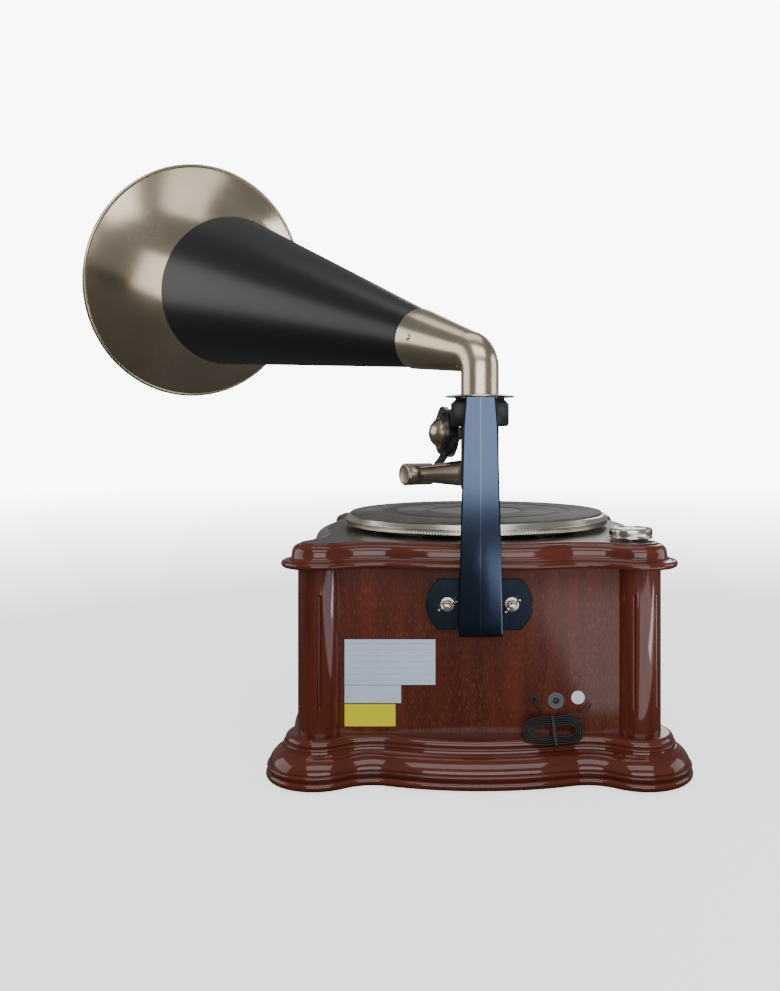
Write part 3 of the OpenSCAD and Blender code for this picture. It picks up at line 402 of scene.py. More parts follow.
def moulding(name, profile, low, high, material, node):
    """A profile (distance, height) carried round the wavy outline, square on the inside."""
    rows = [[(x, y, z) for x, y in outline(r)] for r, z in profile]
    for z in (high, 0):
        rows.append([(x * frame_open / max(abs(x), abs(y)), y * frame_open / max(abs(x), abs(y)), z)
                     for x, y in outline(corner_r)])
    girth, climb = run_length(outline(corner_r)), run_length(profile)
    climb += [climb[-1] + 0.02, climb[-1] + 0.06]
    make_piece(name, skin(rows), at(0, 0, low), "cabinet", material, [node], sharp=40,
               uv=[(along, up) for up in climb for along in girth])


def ramp(material, value, *stops):
    """A colour ramp through (place, colour) stops."""
    node = add_node(material, "ValToRGB", Fac=value)
    while len(node.color_ramp.elements) < len(stops):
        node.color_ramp.elements.new(0.5)
    for element, (place, colour) in zip(node.color_ramp.elements, stops):
        element.position = place
        element.color = (*colour, 1)
    return node.outputs["Color"]


def blend(material, kind, factor, first, second):
    """Two colours mixed; factor and second may be values or sockets."""
    node = add_node(material, "Mix")
    node.data_type = "RGBA"
    node.blend_type = kind
    fill(material, node, (("Factor", factor), ("A", first), ("B", second)))
    return node.outputs["Result"]


def lacquered_wood(name, scale, uv=None):
    """Deep red-brown mahogany: faint long streaks, fine dark pores, and a clear gloss coat."""
    material = finish(name, (0.14, 0.023, 0.01), 0.45, coat=1.0, coat_roughness=0.06, specular=0.1)
    streaks = speckle(material, stretched(material, scale, uv), 1.0, 6, 0.55, 0.35)
    pores = speckle(material, stretched(material, tuple(7 * s for s in scale), uv), 1.6, 3, 0.75)
    colour = ramp(material, streaks, (0.28, (0.074, 0.0108, 0.0038)), (0.5, (0.116, 0.02, 0.0072)),
                  (0.72, (0.135, 0.0265, 0.0105)))
    fleck = ramp(material, pores, (0.34, (0.5, 0.45, 0.45)), (0.46, (1, 1, 1)))
    drive(material, "Base Color", blend(material, "MULTIPLY", 0.5, colour, fleck))
    drive(material, "Roughness", band(material, pores, 0.36, 0.52))
    wave = speckle(material, stretched(material), 22, 2, 0.4)
    bump = add_node(material, "Bump", Height=wave, Strength=0.2, Distance=0.0004)
    drive(material, "Normal", bump.outputs["Normal"])
    drive(material, "Coat Normal", bump.outputs["Normal"])
    return material


moulded_wood = lacquered_wood("moulding_wood", (9, 90, 90), "grain")
base_profile = (
    arc(45.1, 4, 4, -90, 70, 14) + [(45.6, 8.3), (45.5, 8.9)] + arc(46.2, 11.2, 2, -60, 80, 10)
    + [(45.9, 13.5), (45.9, 14.0)] + arc(27.76, 9.05, 19.2, 16.2, 63.3, 16)
    + [(35.6, 27.2), (34.6, 27.7), (33.6, 27.9)] + arc(32, 30.4, 1.7, -40, 80, 8)
    + [(31.5, 32.5)] + arc(26.4, base_h - 5.6, 5.6, 0, 90, 12)
)
moulding("base_moulding_turned", base_profile, base_low, base_h, moulded_wood, "base_moulding")

# Bottom board: a raw wooden board let into the base moulding.
raw_board = finish("raw_board", (0.4, 0.27, 0.16), 0.75)
board_grain = speckle(raw_board, stretched(raw_board, (12, 120, 120)), 1.0, 8, 0.65, 0.4)
drive(raw_board, "Base Color", ramp(raw_board, board_grain, (0.35, (0.27, 0.17, 0.09)),
                                    (0.7, (0.46, 0.32, 0.19))))
raise_grain(raw_board, board_grain, 0.4, 0.0003)
dress("bottom_board", raw_board)

# Corner columns: turned wood, each with three stopped flutes, wrapped round a corner of the case.
case_low = 41
case_h = 150
column_r = 20.6
column_inset = 9
flute_r, flute_l, flute_step = 2.0, 100, 66


def lathe(profile, turns=96, closed=False):
    """Points (radius, height) turned about Z; a point on the axis becomes one point."""
    points, rows = [], []
    for radius, height in profile:
        if radius < 1e-6:
            rows.append([len(points)] * turns)
            points.append((0, 0, height))
            continue
        rows.append(list(range(len(points), len(points) + turns)))
        for k in range(turns):
            a = 2 * math.pi * k / turns
            points.append((radius * math.cos(a), radius * math.sin(a), height))
    faces = []
    pairs = list(zip(rows, rows[1:])) + ([(rows[-1], rows[0])] if closed else [])
    for low, high in pairs:
        for k in range(turns):
            n = (k + 1) % turns
            ring = [low[k], low[n], high[n], high[k]]
            face = [v for i, v in enumerate(ring) if v not in ring[:i]]
            if len(face) > 2:
                faces.append(face)
    return points, faces


def extruded(outline, low, high):
    """A flat outline of (x, y) points raised from low to high."""
    return skin([[(p[0], p[1], z) for p in outline] for z in (low, high)], True)


def moved(shape, place):
    return [place @ Vector(p) for p in shape[0]], shape[1]


def worked_out(rough):
    """The mesh that an object's modifiers give; the object goes."""
    graph = bpy.context.evaluated_depsgraph_get()
    mesh = bpy.data.meshes.new_from_object(rough.evaluated_get(graph))
    bpy.data.objects.remove(rough)
    return mesh


def cut_away(shape, cutters):
    """A shape with the cutters' shapes taken out of it, as a mesh."""
    stock, *tools = [placed("rough", merged(drawn("rough", solid))) for solid in [shape, *cutters]]
    for tool in tools:
        cut = stock.modifiers.new("cut", "BOOLEAN")
        cut.operation = "DIFFERENCE"
        cut.solver = "EXACT"
        cut.object = tool
    mesh = worked_out(stock)
    for tool in tools:
        bpy.data.objects.remove(tool)
    return mesh


column_wood = lacquered_wood("column_wood", (90, 90, 9))
capsule = arc(0, 0, flute_r, -90, 0, 6) + arc(0, flute_l, flute_r, 0, 90, 6)
capsule[0], capsule[-1] = (0, -flute_r), (0, flute_l + flute_r)
column_edge = -math.degrees(math.acos(column_inset / column_r))
column_section = arc(0, 0, column_r, column_edge, 90 - column_edge, 80) + [(column_inset, column_inset)]
for corner in range(4):
    first = 45 - 15 if corner == 0 else 45
    flutes = [moved(lathe(capsule, 20),
                    turned(first + i * flute_step, "Z") @ at(column_r, 0, (case_h - flute_l) / 2))
              for i in (-1, 0, 1)]
    mesh = cut_away(extruded(column_section, 0, case_h), flutes)
    mesh.transform(MM @ turned(90 * corner, "Z") @ at(column_c, column_c, case_low))
    column = keep("corner_column_%d" % (corner + 1), mesh, "cabinet", column_wood, (),
                  sharp=30, bevel=0.35)
    if corner == 0:
        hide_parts("corner_columns")

# Case panels: veneered boards. The back one is satin and shows its open grain and pale flecks;
# the front and the sides have the same gloss as the columns.
veneer = finish("back_veneer", (0.13, 0.028, 0.013), 0.46, coat=0.7, coat_roughness=0.14, specular=0.1)


def maths(material, operation, *values):
    """The result of one Math node."""
    node = fill(material, add_node(material, "Math"), enumerate(values))
    node.operation = operation
    return node.outputs["Value"]


figure = speckle(veneer, stretched(veneer, (14, 14, 2.6)), 1.0, 6, 0.55, 0.8)
cathedral = add_node(veneer, "TexWave", Vector=stretched(veneer, (1, 1, 0.2)), Scale=14.0,
                     Distortion=7.0, Detail=3.0, **{"Detail Scale": 1.2}).outputs["Fac"]
ground = ramp(veneer, figure, (0.3, (0.074, 0.0118, 0.0042)), (0.5, (0.102, 0.0185, 0.0068)),
              (0.72, (0.14, 0.0285, 0.011)))
lines = ramp(veneer, cathedral, (0.3, (0.82, 0.78, 0.75)), (0.62, (1.06, 1.04, 1.02)))
ground = blend(veneer, "MULTIPLY", 0.7, ground, lines)
open_pores = speckle(veneer, stretched(veneer, (1500, 1500, 150)), 1.0, 2, 0.6)
patches = speckle(veneer, stretched(veneer, (30, 30, 9)), 1.0, 3, 0.6)
shown = maths(veneer, "MULTIPLY", ramp(veneer, open_pores, (0.55, (0, 0, 0)), (0.66, (1, 1, 1))),
              band(veneer, patches, -0.15, 0.72))
drive(veneer, "Base Color", blend(veneer, "MIX", shown, ground, (0.36, 0.16, 0.078, 1)))
drive(veneer, "Roughness", band(veneer, open_pores, 0.4, 0.55))
raise_grain(veneer, open_pores, 0.3, 0.0001)
dress("back_panel", veneer)
panel_wood = lacquered_wood("panel_wood", (60, 60, 7))
for node in ("front_panel", "left_side_panel", "right_side_panel"):
    dress(node, panel_wood)

# Speakers: one in each side, a black paper cone in a basket behind a slotted brass-coloured grille.
speaker_r = 38
speaker_z = case_low + case_h / 2


def joined(*shapes):
    points, faces = [], []
    for more_points, more_faces in shapes:
        base = len(points)
        points += list(more_points)
        faces += [[base + v for v in face] for face in more_faces]
    return points, faces


cone_paper = plastic("speaker_cone", (0.02, 0.02, 0.02), 0.8, 0.6)
dress("speaker_drivers", cone_paper)
antique = finish("antique_brass", (0.42, 0.3, 0.15), 0.34, metal=1.0)
patina = grained_gloss(antique, 25, 0.2, 0.28, 4, 0.5)
drive(antique, "Base Color", ramp(antique, patina, (0.3, (0.52, 0.385, 0.2)), (0.7, (0.64, 0.49, 0.27))))
grille_r, side_face, bar_step = speaker_r - 0.1, 149, 8
grille_rim = eased(oblong(speaker_r - 5, grille_r, 0, 3), 0.8)
grille_parts = [lathe(grille_rim, 72, True)]
for x in range(-4 * bar_step, 4 * bar_step + 1, bar_step):
    half_l = math.sqrt((speaker_r - 3) ** 2 - x * x)
    grille_bar = eased(oblong(x - 2, x + 2, 0.3, 2.4), 0.9)
    grille_parts.append(moved(extruded(grille_bar, -half_l, half_l), turned(90, "X")))
for side, name in ((1, "left"), (-1, "right")):
    grille = make_piece("speaker_grille_" + name, joined(*grille_parts),
                        at(side * side_face, 0, speaker_z) @ turned(-90 * side, "Y"), "cabinet",
                        antique, ())
    if side > 0:
        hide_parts("speaker_grilles")

# Top moulding: the same wavy outline, with a bead, a cove and a quarter round, round the deck.
top_low = 191
top_h = 22
deck_t = 6
top_profile = (
    arc(32.6, 3.2, 3.2, -90, 75, 10) + smooth([(32.9, 6.4), (29.5, 6.9), (27.2, 8.6), (26.2, 11)], 4)
    + arc(17.8, 12.6, 8.4, 10, 66, 8)
    + [(18.8, top_h - 1.6), (18, top_h - 0.4), (17, top_h), (14.2, top_h), (14.2, top_h - deck_t)]
)
moulding("top_moulding_turned", top_profile, top_low, top_h - deck_t, moulded_wood, "top_moulding")

# Deck: a dark grained board inside the top moulding, its edge just below the moulding's lip.
as_drawn = Matrix.Identity(4)
deck_z = top_low + top_h
deck_finish = finish("deck_finish", (0.035, 0.02, 0.016), 0.45, coat=0.5, coat_roughness=0.2)
deck_grain = speckle(deck_finish, stretched(deck_finish, (14, 60, 60)), 1.0, 8, 0.7, 0.8)
drive(deck_finish, "Base Color", ramp(deck_finish, deck_grain, (0.3, (0.014, 0.008, 0.0065)),
                                      (0.55, (0.034, 0.017, 0.012)), (0.75, (0.07, 0.036, 0.024))))
raise_grain(deck_finish, deck_grain, 0.4, 0.0003)
make_piece("deck_board_veneered", extruded(outline(14.1), deck_z - deck_t, deck_z), as_drawn, "cabinet",
           deck_finish, ["deck_board"], bevel=0.4)

# Drive parts under the platter: bearing, motor, pulley and belt. All but the belt are as machined.
machined = finish("machined_brass", (0.6, 0.44, 0.2), 0.28, metal=1.0)
turning = speckle(machined, stretched(machined, (40, 40, 900)), 1.0, 2)
drive(machined, "Roughness", band(machined, turning, 0.2, 0.38))
for node in ("bearing_housing", "motor_pulley"):
    dress(node, machined)
motor_can = grained("motor_can", (0.5, 0.5, 0.5), 0.35, 300, 0.25, 0.45, metal=1.0)
dress("motor", motor_can)
motor_at = Vector((-106.944, -49.869))
belt_ring_r, pulley_r, belt_gap, belt_t, belt_h = 100, 6, 0.3, 0.6, 4
belt_z = 216


def belt_line(extra):
    """The tight loop round the platter's ring and the pulley."""
    big, small = belt_ring_r + extra, pulley_r + extra
    heading = math.degrees(math.atan2(motor_at.y, motor_at.x))
    lean = math.degrees(math.acos((big - small) / motor_at.length))
    return (arc(0, 0, big, heading + lean, heading + 360 - lean, 120)
            + arc(motor_at.x, motor_at.y, small, heading - lean, heading + lean, 24))


edge = 0.2
belt_section = [(0, edge), (0, belt_h - edge), (edge, belt_h), (belt_t - edge, belt_h),
                (belt_t, belt_h - edge), (belt_t, edge), (belt_t - edge, 0), (edge, 0)]
belt_rows = [[(x, y, belt_z + z) for x, y in belt_line(belt_gap + out)] for out, z in belt_section]
make_piece("drive_belt_band", skin(belt_rows), as_drawn, "cabinet", rubber, ["drive_belt"])

# Platter: a spun dish with a polished champagne brim, and a ring of fine upright ribs round its
# side below the brim.
platter_z = 217
rim_h = 10.5
platter_r = 140
well_r, hub_r, dish_t = 136, 5, 3
rib_count = 300


def grown(name, tree, values):
    """Runs a Geometry Nodes tree once and gives its result as a plain mesh."""
    seed = placed(name, bpy.data.meshes.new(name))
    grow = seed.modifiers.new("grow", "NODES")
    grow.node_group = tree
    for item in tree.interface.items_tree:
        if item.in_out == "INPUT" and item.name in values:
            grow[item.identifier] = values[item.name]
    return worked_out(seed)


def ring_tree(name, material):
    """Small blocks set evenly round a circle, each facing outwards."""
    tree = bpy.data.node_groups.new(name, "GeometryNodeTree")
    tree.interface.new_socket("Geometry", in_out="OUTPUT", socket_type="NodeSocketGeometry")
    for label, kind in (("Count", "Int"), ("Radius", "Float"), ("Height", "Float"),
                        ("Depth", "Float"), ("Width", "Float"), ("Tall", "Float")):
        tree.interface.new_socket(label, in_out="INPUT", socket_type="NodeSocket" + kind)
    nodes = {label: tree.nodes.new(kind) for label, kind in (
        ("start", "NodeGroupInput"), ("circle", "GeometryNodeMeshCircle"),
        ("size", "ShaderNodeCombineXYZ"), ("block", "GeometryNodeMeshCube"),
        ("place", "GeometryNodeInputPosition"), ("face", "FunctionNodeAlignEulerToVector"),
        ("copies", "GeometryNodeInstanceOnPoints"), ("lift", "ShaderNodeCombineXYZ"),
        ("shift", "GeometryNodeTransform"), ("real", "GeometryNodeRealizeInstances"),
        ("paint", "GeometryNodeSetMaterial"), ("end", "NodeGroupOutput"))}
    nodes["face"].axis = "X"
    nodes["paint"].inputs["Material"].default_value = material
    for source, output, target, entry in (
        ("start", "Count", "circle", "Vertices"), ("start", "Radius", "circle", "Radius"),
        ("start", "Depth", "size", "X"), ("start", "Width", "size", "Y"), ("start", "Tall", "size", "Z"),
        ("size", "Vector", "block", "Size"), ("place", "Position", "face", "Vector"),
        ("circle", "Mesh", "copies", "Points"), ("block", "Mesh", "copies", "Instance"),
        ("face", "Rotation", "copies", "Rotation"), ("start", "Height", "lift", "Z"),
        ("copies", "Instances", "shift", "Geometry"), ("lift", "Vector", "shift", "Translation"),
        ("shift", "Geometry", "real", "Geometry"), ("real", "Geometry", "paint", "Geometry"),
        ("paint", "Geometry", "end", "Geometry"),
    ):
        tree.links.new(nodes[source].outputs[output], nodes[target].inputs[entry])
    return tree


champagne = finish("champagne_plating", (0.74, 0.69, 0.6), 0.28, metal=1.0)
spun = grained_gloss(champagne, 30, 0.17, 0.25, 3, 0.5)
drive(champagne, "Base Color", ramp(champagne, spun, (0.3, (0.76, 0.71, 0.61)),
                                    (0.7, (0.83, 0.79, 0.7))))
top_z = platter_z + rim_h
brim = eased([
    (well_r, platter_z), (platter_r - 0.6, platter_z), (platter_r, platter_z + 0.6),
    (platter_r, platter_z + 0.9), (platter_r - 1.1, platter_z + 1.1), (platter_r - 1.1, platter_z + 4.7),
    (platter_r, platter_z + 4.9), (platter_r, platter_z + 5.5), (platter_r - 0.8, platter_z + 6.6),
    (platter_r - 2.4, top_z - 0.8), (platter_r - 3.6, top_z), (hub_r, top_z), (hub_r, top_z - dish_t),
    (belt_ring_r - 3, top_z - dish_t), (belt_ring_r - 3, platter_z - 2), (belt_ring_r, platter_z - 2),
    (belt_ring_r, top_z - dish_t), (well_r, top_z - dish_t),
], 0.35, 2)
make_piece("platter_dish", lathe(brim, 288, True), as_drawn, "turntable", champagne, ["platter"],
           sharp=40)
ribs = grown("platter_ribs", ring_tree("ribs_round_the_rim", champagne), {
    "Count": rib_count, "Radius": (platter_r - 0.8) / 1000, "Height": (platter_z + 2.9) / 1000,
    "Depth": 0.0014, "Width": 0.0018, "Tall": 0.0039})
keep("platter_ribs", ribs, "turntable", champagne, ())

# Mat: black rubber with fine rings, a wider groove and a sunk middle for the record's label.
mat_r, mat_t = 134, 2


def distance_out(material, vector):
    """How far a place is from the middle."""
    node = add_node(material, "VectorMath", Vector=vector)
    node.operation = "LENGTH"
    return node.outputs["Value"]


mat_rubber = finish("mat_rubber", (0.03, 0.03, 0.033), 0.6)
dust = grained_gloss(mat_rubber, 90, 0.5, 0.75, 8, 0.7)
dusty = ramp(mat_rubber, dust, (0.35, (0.07, 0.068, 0.064)), (0.7, (0.14, 0.136, 0.128)))
radius = distance_out(mat_rubber, stretched(mat_rubber, (5, 5, 0)))
clean, dull = (0.28, 0.28, 0.3), (1, 1, 1)
rings = ramp(mat_rubber, radius, (0.242, dull), (0.25, clean), (0.265, clean), (0.275, dull),
             (0.422, dull), (0.43, clean), (0.505, clean), (0.513, dull))
drive(mat_rubber, "Base Color", blend(mat_rubber, "MULTIPLY", 1.0, dusty, rings))


def fine_grooves(first, last):
    """A groove every two millimetres from radius first inwards to last."""
    return [(r - aside, mat_t - deep) for r in range(first, last, -2)
            for aside, deep in ((0, 0), (0.5, 0.3), (1, 0))]


mat_profile = [(5.5, 0), (mat_r, 0), (mat_r, mat_t - 0.4), (mat_r - 0.4, mat_t)]
mat_profile += fine_grooves(mat_r - 2, 104)
mat_profile += [(101, mat_t), (100, mat_t - 0.6), (87, mat_t - 0.6), (86, mat_t)]
mat_profile += fine_grooves(84, 53)
mat_profile += [(50, mat_t), (49, mat_t - 0.8), (5.5, mat_t - 0.8)]
make_piece("platter_mat_ribbed", lathe(mat_profile, 192, True), at(0, 0, top_z), "turntable",
           mat_rubber, ["platter_mat"], sharp=20)

# Spindle: a ground steel shaft with a rounded pin for the record's hole.
bright_steel = grained("bright_steel", (0.68, 0.67, 0.64), 0.16, 500, 0.1, 0.26, metal=1.0)
shaft_low, shaft_top = 190.3, top_z + mat_t - 0.8
record_pin_r, pin_round = 3.6, 2.2
shaft = [(0, shaft_low), (hub_r - 0.4, shaft_low), (hub_r, shaft_low + 0.5), (hub_r, shaft_top),
         (record_pin_r, shaft_top), (record_pin_r, shaft_top + 11.4)]
shaft += arc(record_pin_r - pin_round, shaft_top + 11.6, pin_round, 0, 90, 6) + [(0, shaft_top + 13.8)]
make_piece("spindle_ground", lathe(shaft, 48), as_drawn, "turntable", bright_steel,
           ["platter_spindle"])

# Deck knob: a bright metal ring round a sunk glossy black cap, on the deck's rear corner.
knob_at = at(-141.5, 130, deck_z + 1.5)
knob_r, knob_h = 20, 9.5
ring_profile = eased([
    (0, 0), (knob_r - 0.8, 0), (knob_r, 0.8), (knob_r, 1.6), (knob_r - 0.8, 2.2), (knob_r - 0.8, 2.8),
    (knob_r, 3.4), (knob_r, knob_h - 1.0), (knob_r - 0.9, knob_h), (knob_r - 1.6, knob_h),
    (knob_r - 2, knob_h - 1.4), (knob_r - 2, 4), (0, 4),
], 0.25, 2, False)
knob_shaft = [(0, -7.2), (3, -7.2), (3, 1), (0, 1)]
make_piece("deck_knob_ring", joined(lathe(ring_profile, 128), lathe(knob_shaft, 32)), knob_at,
           "deck_control", champagne, ["deck_knob"])
gloss_black = grained("gloss_black", (0.008, 0.008, 0.01), 0.06, 700, 0.03, 0.12, coat=1.0,
                      coat_roughness=0.03)
cap_profile = [
    (0, 4.02), (knob_r - 2.05, 4.02), (knob_r - 2.05, knob_h - 1.6), (knob_r - 3.4, knob_h - 1.1),
    (knob_r - 4.6, knob_h - 1.3), (10, knob_h - 1.9), (5, knob_h - 2.1), (0, knob_h - 2.2),
]
make_piece("deck_knob_top", lathe(cap_profile, 96), knob_at, "deck_control", gloss_black,
           ["deck_knob_cap"])

# Electronics inside the case: a green board with a few parts on it, on four posts.
solder_mask = grained("solder_mask", (0.03, 0.15, 0.06), 0.35, 250, 0.28, 0.45, coat=0.4)
dress("circuit_board", solder_mask)

# Power inlet: a grey moulded ring in the back panel, a dark bore and a bright pin in it.
inlet_at = at(-69, panel_face, 70) @ turned(-90, "X")
grey_plastic = plastic("inlet_plastic", (0.12, 0.12, 0.125), 0.4)
inlet_ring = eased([
    (7.3, -15), (7.5, 0), (7.5, 0.5), (6.9, 1), (5.6, 1), (5.2, 0.5), (4.6, 0.5), (4.2, 0.9), (3.3, 0.9),
    (3, 0.6), (3, -8), (0, -8), (0, -15),
], 0.2, 2, False)
make_piece("power_inlet_ring", lathe([(0, -15)] + inlet_ring[:-1], 64), inlet_at, "cabinet",
           grey_plastic, ["power_inlet"])
contact = grained("bright_contact", (0.8, 0.78, 0.72), 0.2, 900, 0.14, 0.3, metal=1.0)
contact_pin = [(0, -8), (0.8, -8), (0.8, -1.0), (0.5, -0.5), (0, -0.5)]
make_piece("power_inlet_contact", lathe(contact_pin, 24), inlet_at, "cabinet", contact,
           ["power_inlet_pin"])

# Grommet: a soft black ring where the aerial leaves the panel.
grommet = eased([(0.9, -12), (2.6, -12), (2.6, 0), (3.8, 0), (3.8, 1.1), (3.2, 1.5), (1.2, 1.5),
                 (0.9, 1.2)], 0.3, 2)
make_piece("aerial_grommet_ring", lathe(grommet, 40, True),
           at(grommet_at[0], panel_face, grommet_at[1]) @ turned(-90, "X"), "cabinet",
           plastic("grommet_rubber", (0.014, 0.014, 0.015), 0.6), ["aerial_grommet"])

# Stickers on the back panel: two white ones, a yellow one and a round one, of coated paper. One
# white one has plain ruled lines, the others are bare.
line_w, margin = 0.00035, 0.0035


def sticker(name, colour, gloss, low=None, high=None, rows=0):
    """Coated paper, with evenly ruled lines from low to high (x, z in metres) where they're given."""
    material = finish(name, colour, gloss, coat=0.3, coat_roughness=0.2)
    cloud = speckle(material, stretched(material), 30, 4)
    paper = ramp(material, cloud, (0.3, tuple(0.93 * c for c in colour)),
                 (0.7, tuple(min(1, 1.04 * c) for c in colour)))
    if rows:
        where = add_node(material, "TexCoord").outputs["Object"]
        place = add_node(material, "SeparateXYZ", Vector=where)
        x, z = place.outputs["X"], place.outputs["Z"]
        climb = maths(material, "SUBTRACT", z, low[1])
        line = maths(material, "WRAP", climb, (high[1] - low[1]) / rows, 0.0)
        ruled = maths(material, "LESS_THAN", line, line_w)
        aside = maths(material, "ABSOLUTE", maths(material, "SUBTRACT", x, (low[0] + high[0]) / 2))
        inside = maths(material, "LESS_THAN", aside, (high[0] - low[0]) / 2 - margin)
        above = maths(material, "GREATER_THAN", z, low[1] - 0.001)
        drawn_line = maths(material, "MULTIPLY", ruled, maths(material, "MULTIPLY", inside, above))
        paper = blend(material, "MIX", maths(material, "MULTIPLY", drawn_line, 0.55), paper,
                      (0.1, 0.12, 0.16, 1))
    drive(material, "Base Color", paper)
    return material


white_paper = sticker("white_sticker", (0.64, 0.79, 1.0), 0.35, (0.040, 0.0885), (0.122, 0.1215), 6)
round_paper = sticker("round_sticker_paper", (0.86, 0.95, 1.0), 0.35)
yellow_paper = sticker("yellow_sticker", (0.92, 0.86, 0.004), 0.3)
dress("white_labels", white_paper)
dress("round_sticker", round_paper)
dress("yellow_label", yellow_paper)

# Front plate, dial window, scale card and pointer: a brass-coloured plate between two knobs, with
# a clear pane, and behind the red pointer a printed card with plain scale lines.
dress("fascia_plate", antique)
dial = grained("dial_window", (0.96, 0.95, 0.9), 0.05, 60, 0.02, 0.07, 3)
drive(dial, "Transmission Weight", 1.0)
dress("dial_window", dial)
card = finish("dial_card", (0.76, 0.68, 0.46), 0.6)
aged = ramp(card, speckle(card, stretched(card), 25, 4), (0.3, (0.7, 0.6, 0.38)),
            (0.7, (0.82, 0.74, 0.52)))
across = add_node(card, "SeparateXYZ", Vector=stretched(card, (250, 1, 1000)))
bare, inked = (0, 0, 0), (1, 1, 1)
tick = ramp(card, maths(card, "FRACT", across.outputs["X"]), (0.02, bare), (0.03, inked), (0.12, inked),
            (0.13, bare))
height = add_node(card, "MapRange", Value=across.outputs["Z"],
                  **{"From Min": 103, "From Max": 129}).outputs["Result"]
tick_rows = ramp(card, height, (0.3, bare), (0.31, inked), (0.36, inked), (0.37, bare), (0.62, bare),
                 (0.63, inked), (0.82, inked), (0.83, bare))
low_line = ramp(card, height, (0.3, bare), (0.31, inked), (0.34, inked), (0.35, bare))
print_seen = blend(card, "LIGHTEN", 1.0, blend(card, "MULTIPLY", 1.0, tick, tick_rows), low_line)
drive(card, "Base Color", blend(card, "MIX", print_seen, aged, (0.05, 0.03, 0.02, 1)))
card_y = 1000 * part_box("dial_window")[0][1] + 6
make_piece("dial_card", extruded(oblong(-45.9, 45.9, 103.1, 128.9), 0, 0.6),
           at(0, card_y, 0) @ turned(90, "X"), "cabinet", card, ())
pointer_red = plastic("pointer_red", (0.55, 0.04, 0.02), 0.4)
dress("dial_pointer", pointer_red)

# Front knobs: turned brass-coloured caps with a ribbed grip.
for node in ("tuning_knob", "volume_knob"):
    dress(node, antique)

# Bracket foot plate: cut from thick sheet, round ends, edges eased, painted gloss blue-black.
paint = grained("bracket_paint", (0.026, 0.034, 0.05), 0.2, 420, 0.16, 0.3, 3, 0.12, metal=1.0)
plate_z = case_low + 117
back_face = at(0, panel_face, plate_z) @ turned(-90, "X")
end_r, end_x = 28.52, 19.48
plate_outline = [(38, 23)] + arc(end_x, 0, end_r, 49.5, -49.5, 24) + [(38, -23)]
plate_outline += [(-x, -y) for x, y in plate_outline]
make_piece("bracket_foot_plate", extruded(plate_outline, 0, 4), back_face, "cabinet", paint,
           ["bracket_plate"], bevel=0.9)

# Bracket bar: thick flat bar bent up from the plate, with a slight ridge down its middle, eased
# edges and a narrower head behind the collar. Its colour is lighter in a thin line down the
# middle: a painted highlight on the ridge.
collar_low, collar_top = 318, 343
bar_low, bar_top, bar_t = 135, collar_top, 4.0
bar_foot_w, bar_neck_w, bar_head_w = 19.5, 15, 13
bar_paint_and_ridge_highlight = grained("bar_paint_and_ridge_highlight", (0.06, 0.079, 0.128), 0.14, 420, 0.12, 0.22, 3, 0.12, metal=1.0)
# Painted highlight: the colour is lighter within about half a millimetre of the bar's middle, standing
# in for the light that the ridge catches.
ridge_highlight_coords = add_node(bar_paint_and_ridge_highlight, "SeparateXYZ", Vector=add_node(bar_paint_and_ridge_highlight, "TexCoord").outputs["Object"])
aside = maths(bar_paint_and_ridge_highlight, "ABSOLUTE", ridge_highlight_coords.outputs["X"])
drive(bar_paint_and_ridge_highlight, "Base Color", ramp(bar_paint_and_ridge_highlight, band(bar_paint_and_ridge_highlight, aside, 0, 1000),
                                    (0.3, (0.098, 0.122, 0.18)), (0.75, (0.06, 0.079, 0.128))))


def swept(sections, path, normals):
    """Sections of (side, out) points carried along a path; side is square to path and normal."""
    rows, last = [], len(path) - 1
    for i, (p, n) in enumerate(zip(path, normals)):
        ahead = (path[min(i + 1, last)] - path[max(i - 1, 0)]).normalized()
        side = ahead.cross(n).normalized()
        out = side.cross(ahead)
        rows.append([p + side * a + out * b for a, b in sections[i]])
    return skin(rows, True)


def bar_half_width(z):
    if z < collar_low:
        return bar_foot_w + (bar_neck_w - bar_foot_w) * (z - bar_low) / (collar_low - bar_low)
    return bar_neck_w + (bar_head_w - bar_neck_w) * (z - collar_low) / (collar_top - collar_low)


bar_bend, bar_back, bar_bow = 4.5, 191, 4
plate_face = panel_face + 4.02
stations = [(y, bar_low, -90) for y in (plate_face, 170, 184)]
for i in range(1, 7):
    a = -90 + 90 * i / 7
    c, s = math.cos(math.radians(a)), math.sin(math.radians(a))
    stations.append((bar_back + bar_bend * (c - 1), bar_low + bar_bend * (1 + s), a))
for i in range(1, 41):
    t = 0.03 + 0.97 * i / 40
    stations.append((bar_back + bar_bow * (t + math.sin(math.pi * t)),
                     bar_low + (bar_top - bar_low) * t, 0))
path = [Vector((0, y, z)) for y, z, _ in stations]
normals = [Vector((0, math.cos(math.radians(a)), math.sin(math.radians(a)))) for _, _, a in stations]
sections = []
for p, n in zip(path, normals):
    w = bar_half_width(p.z)
    ridge = math.tan(math.radians(4)) * max(0.0, n.y)
    half = [(0, 0), (0.5, 0), (w * 0.5, -ridge * w * 0.5), (w - 1.3, -ridge * w),
            (w - 0.35, -ridge * w - 0.45), (w, -ridge * w - 1.3), (w, -bar_t), (0, -bar_t)]
    sections.append(half + [(-x, d) for x, d in half[-2:0:-1]])
make_piece("bracket_bar_bent", swept(sections, path, normals), as_drawn, "cabinet", bar_paint_and_ridge_highlight,
           ["bracket_bar"], sharp=12)

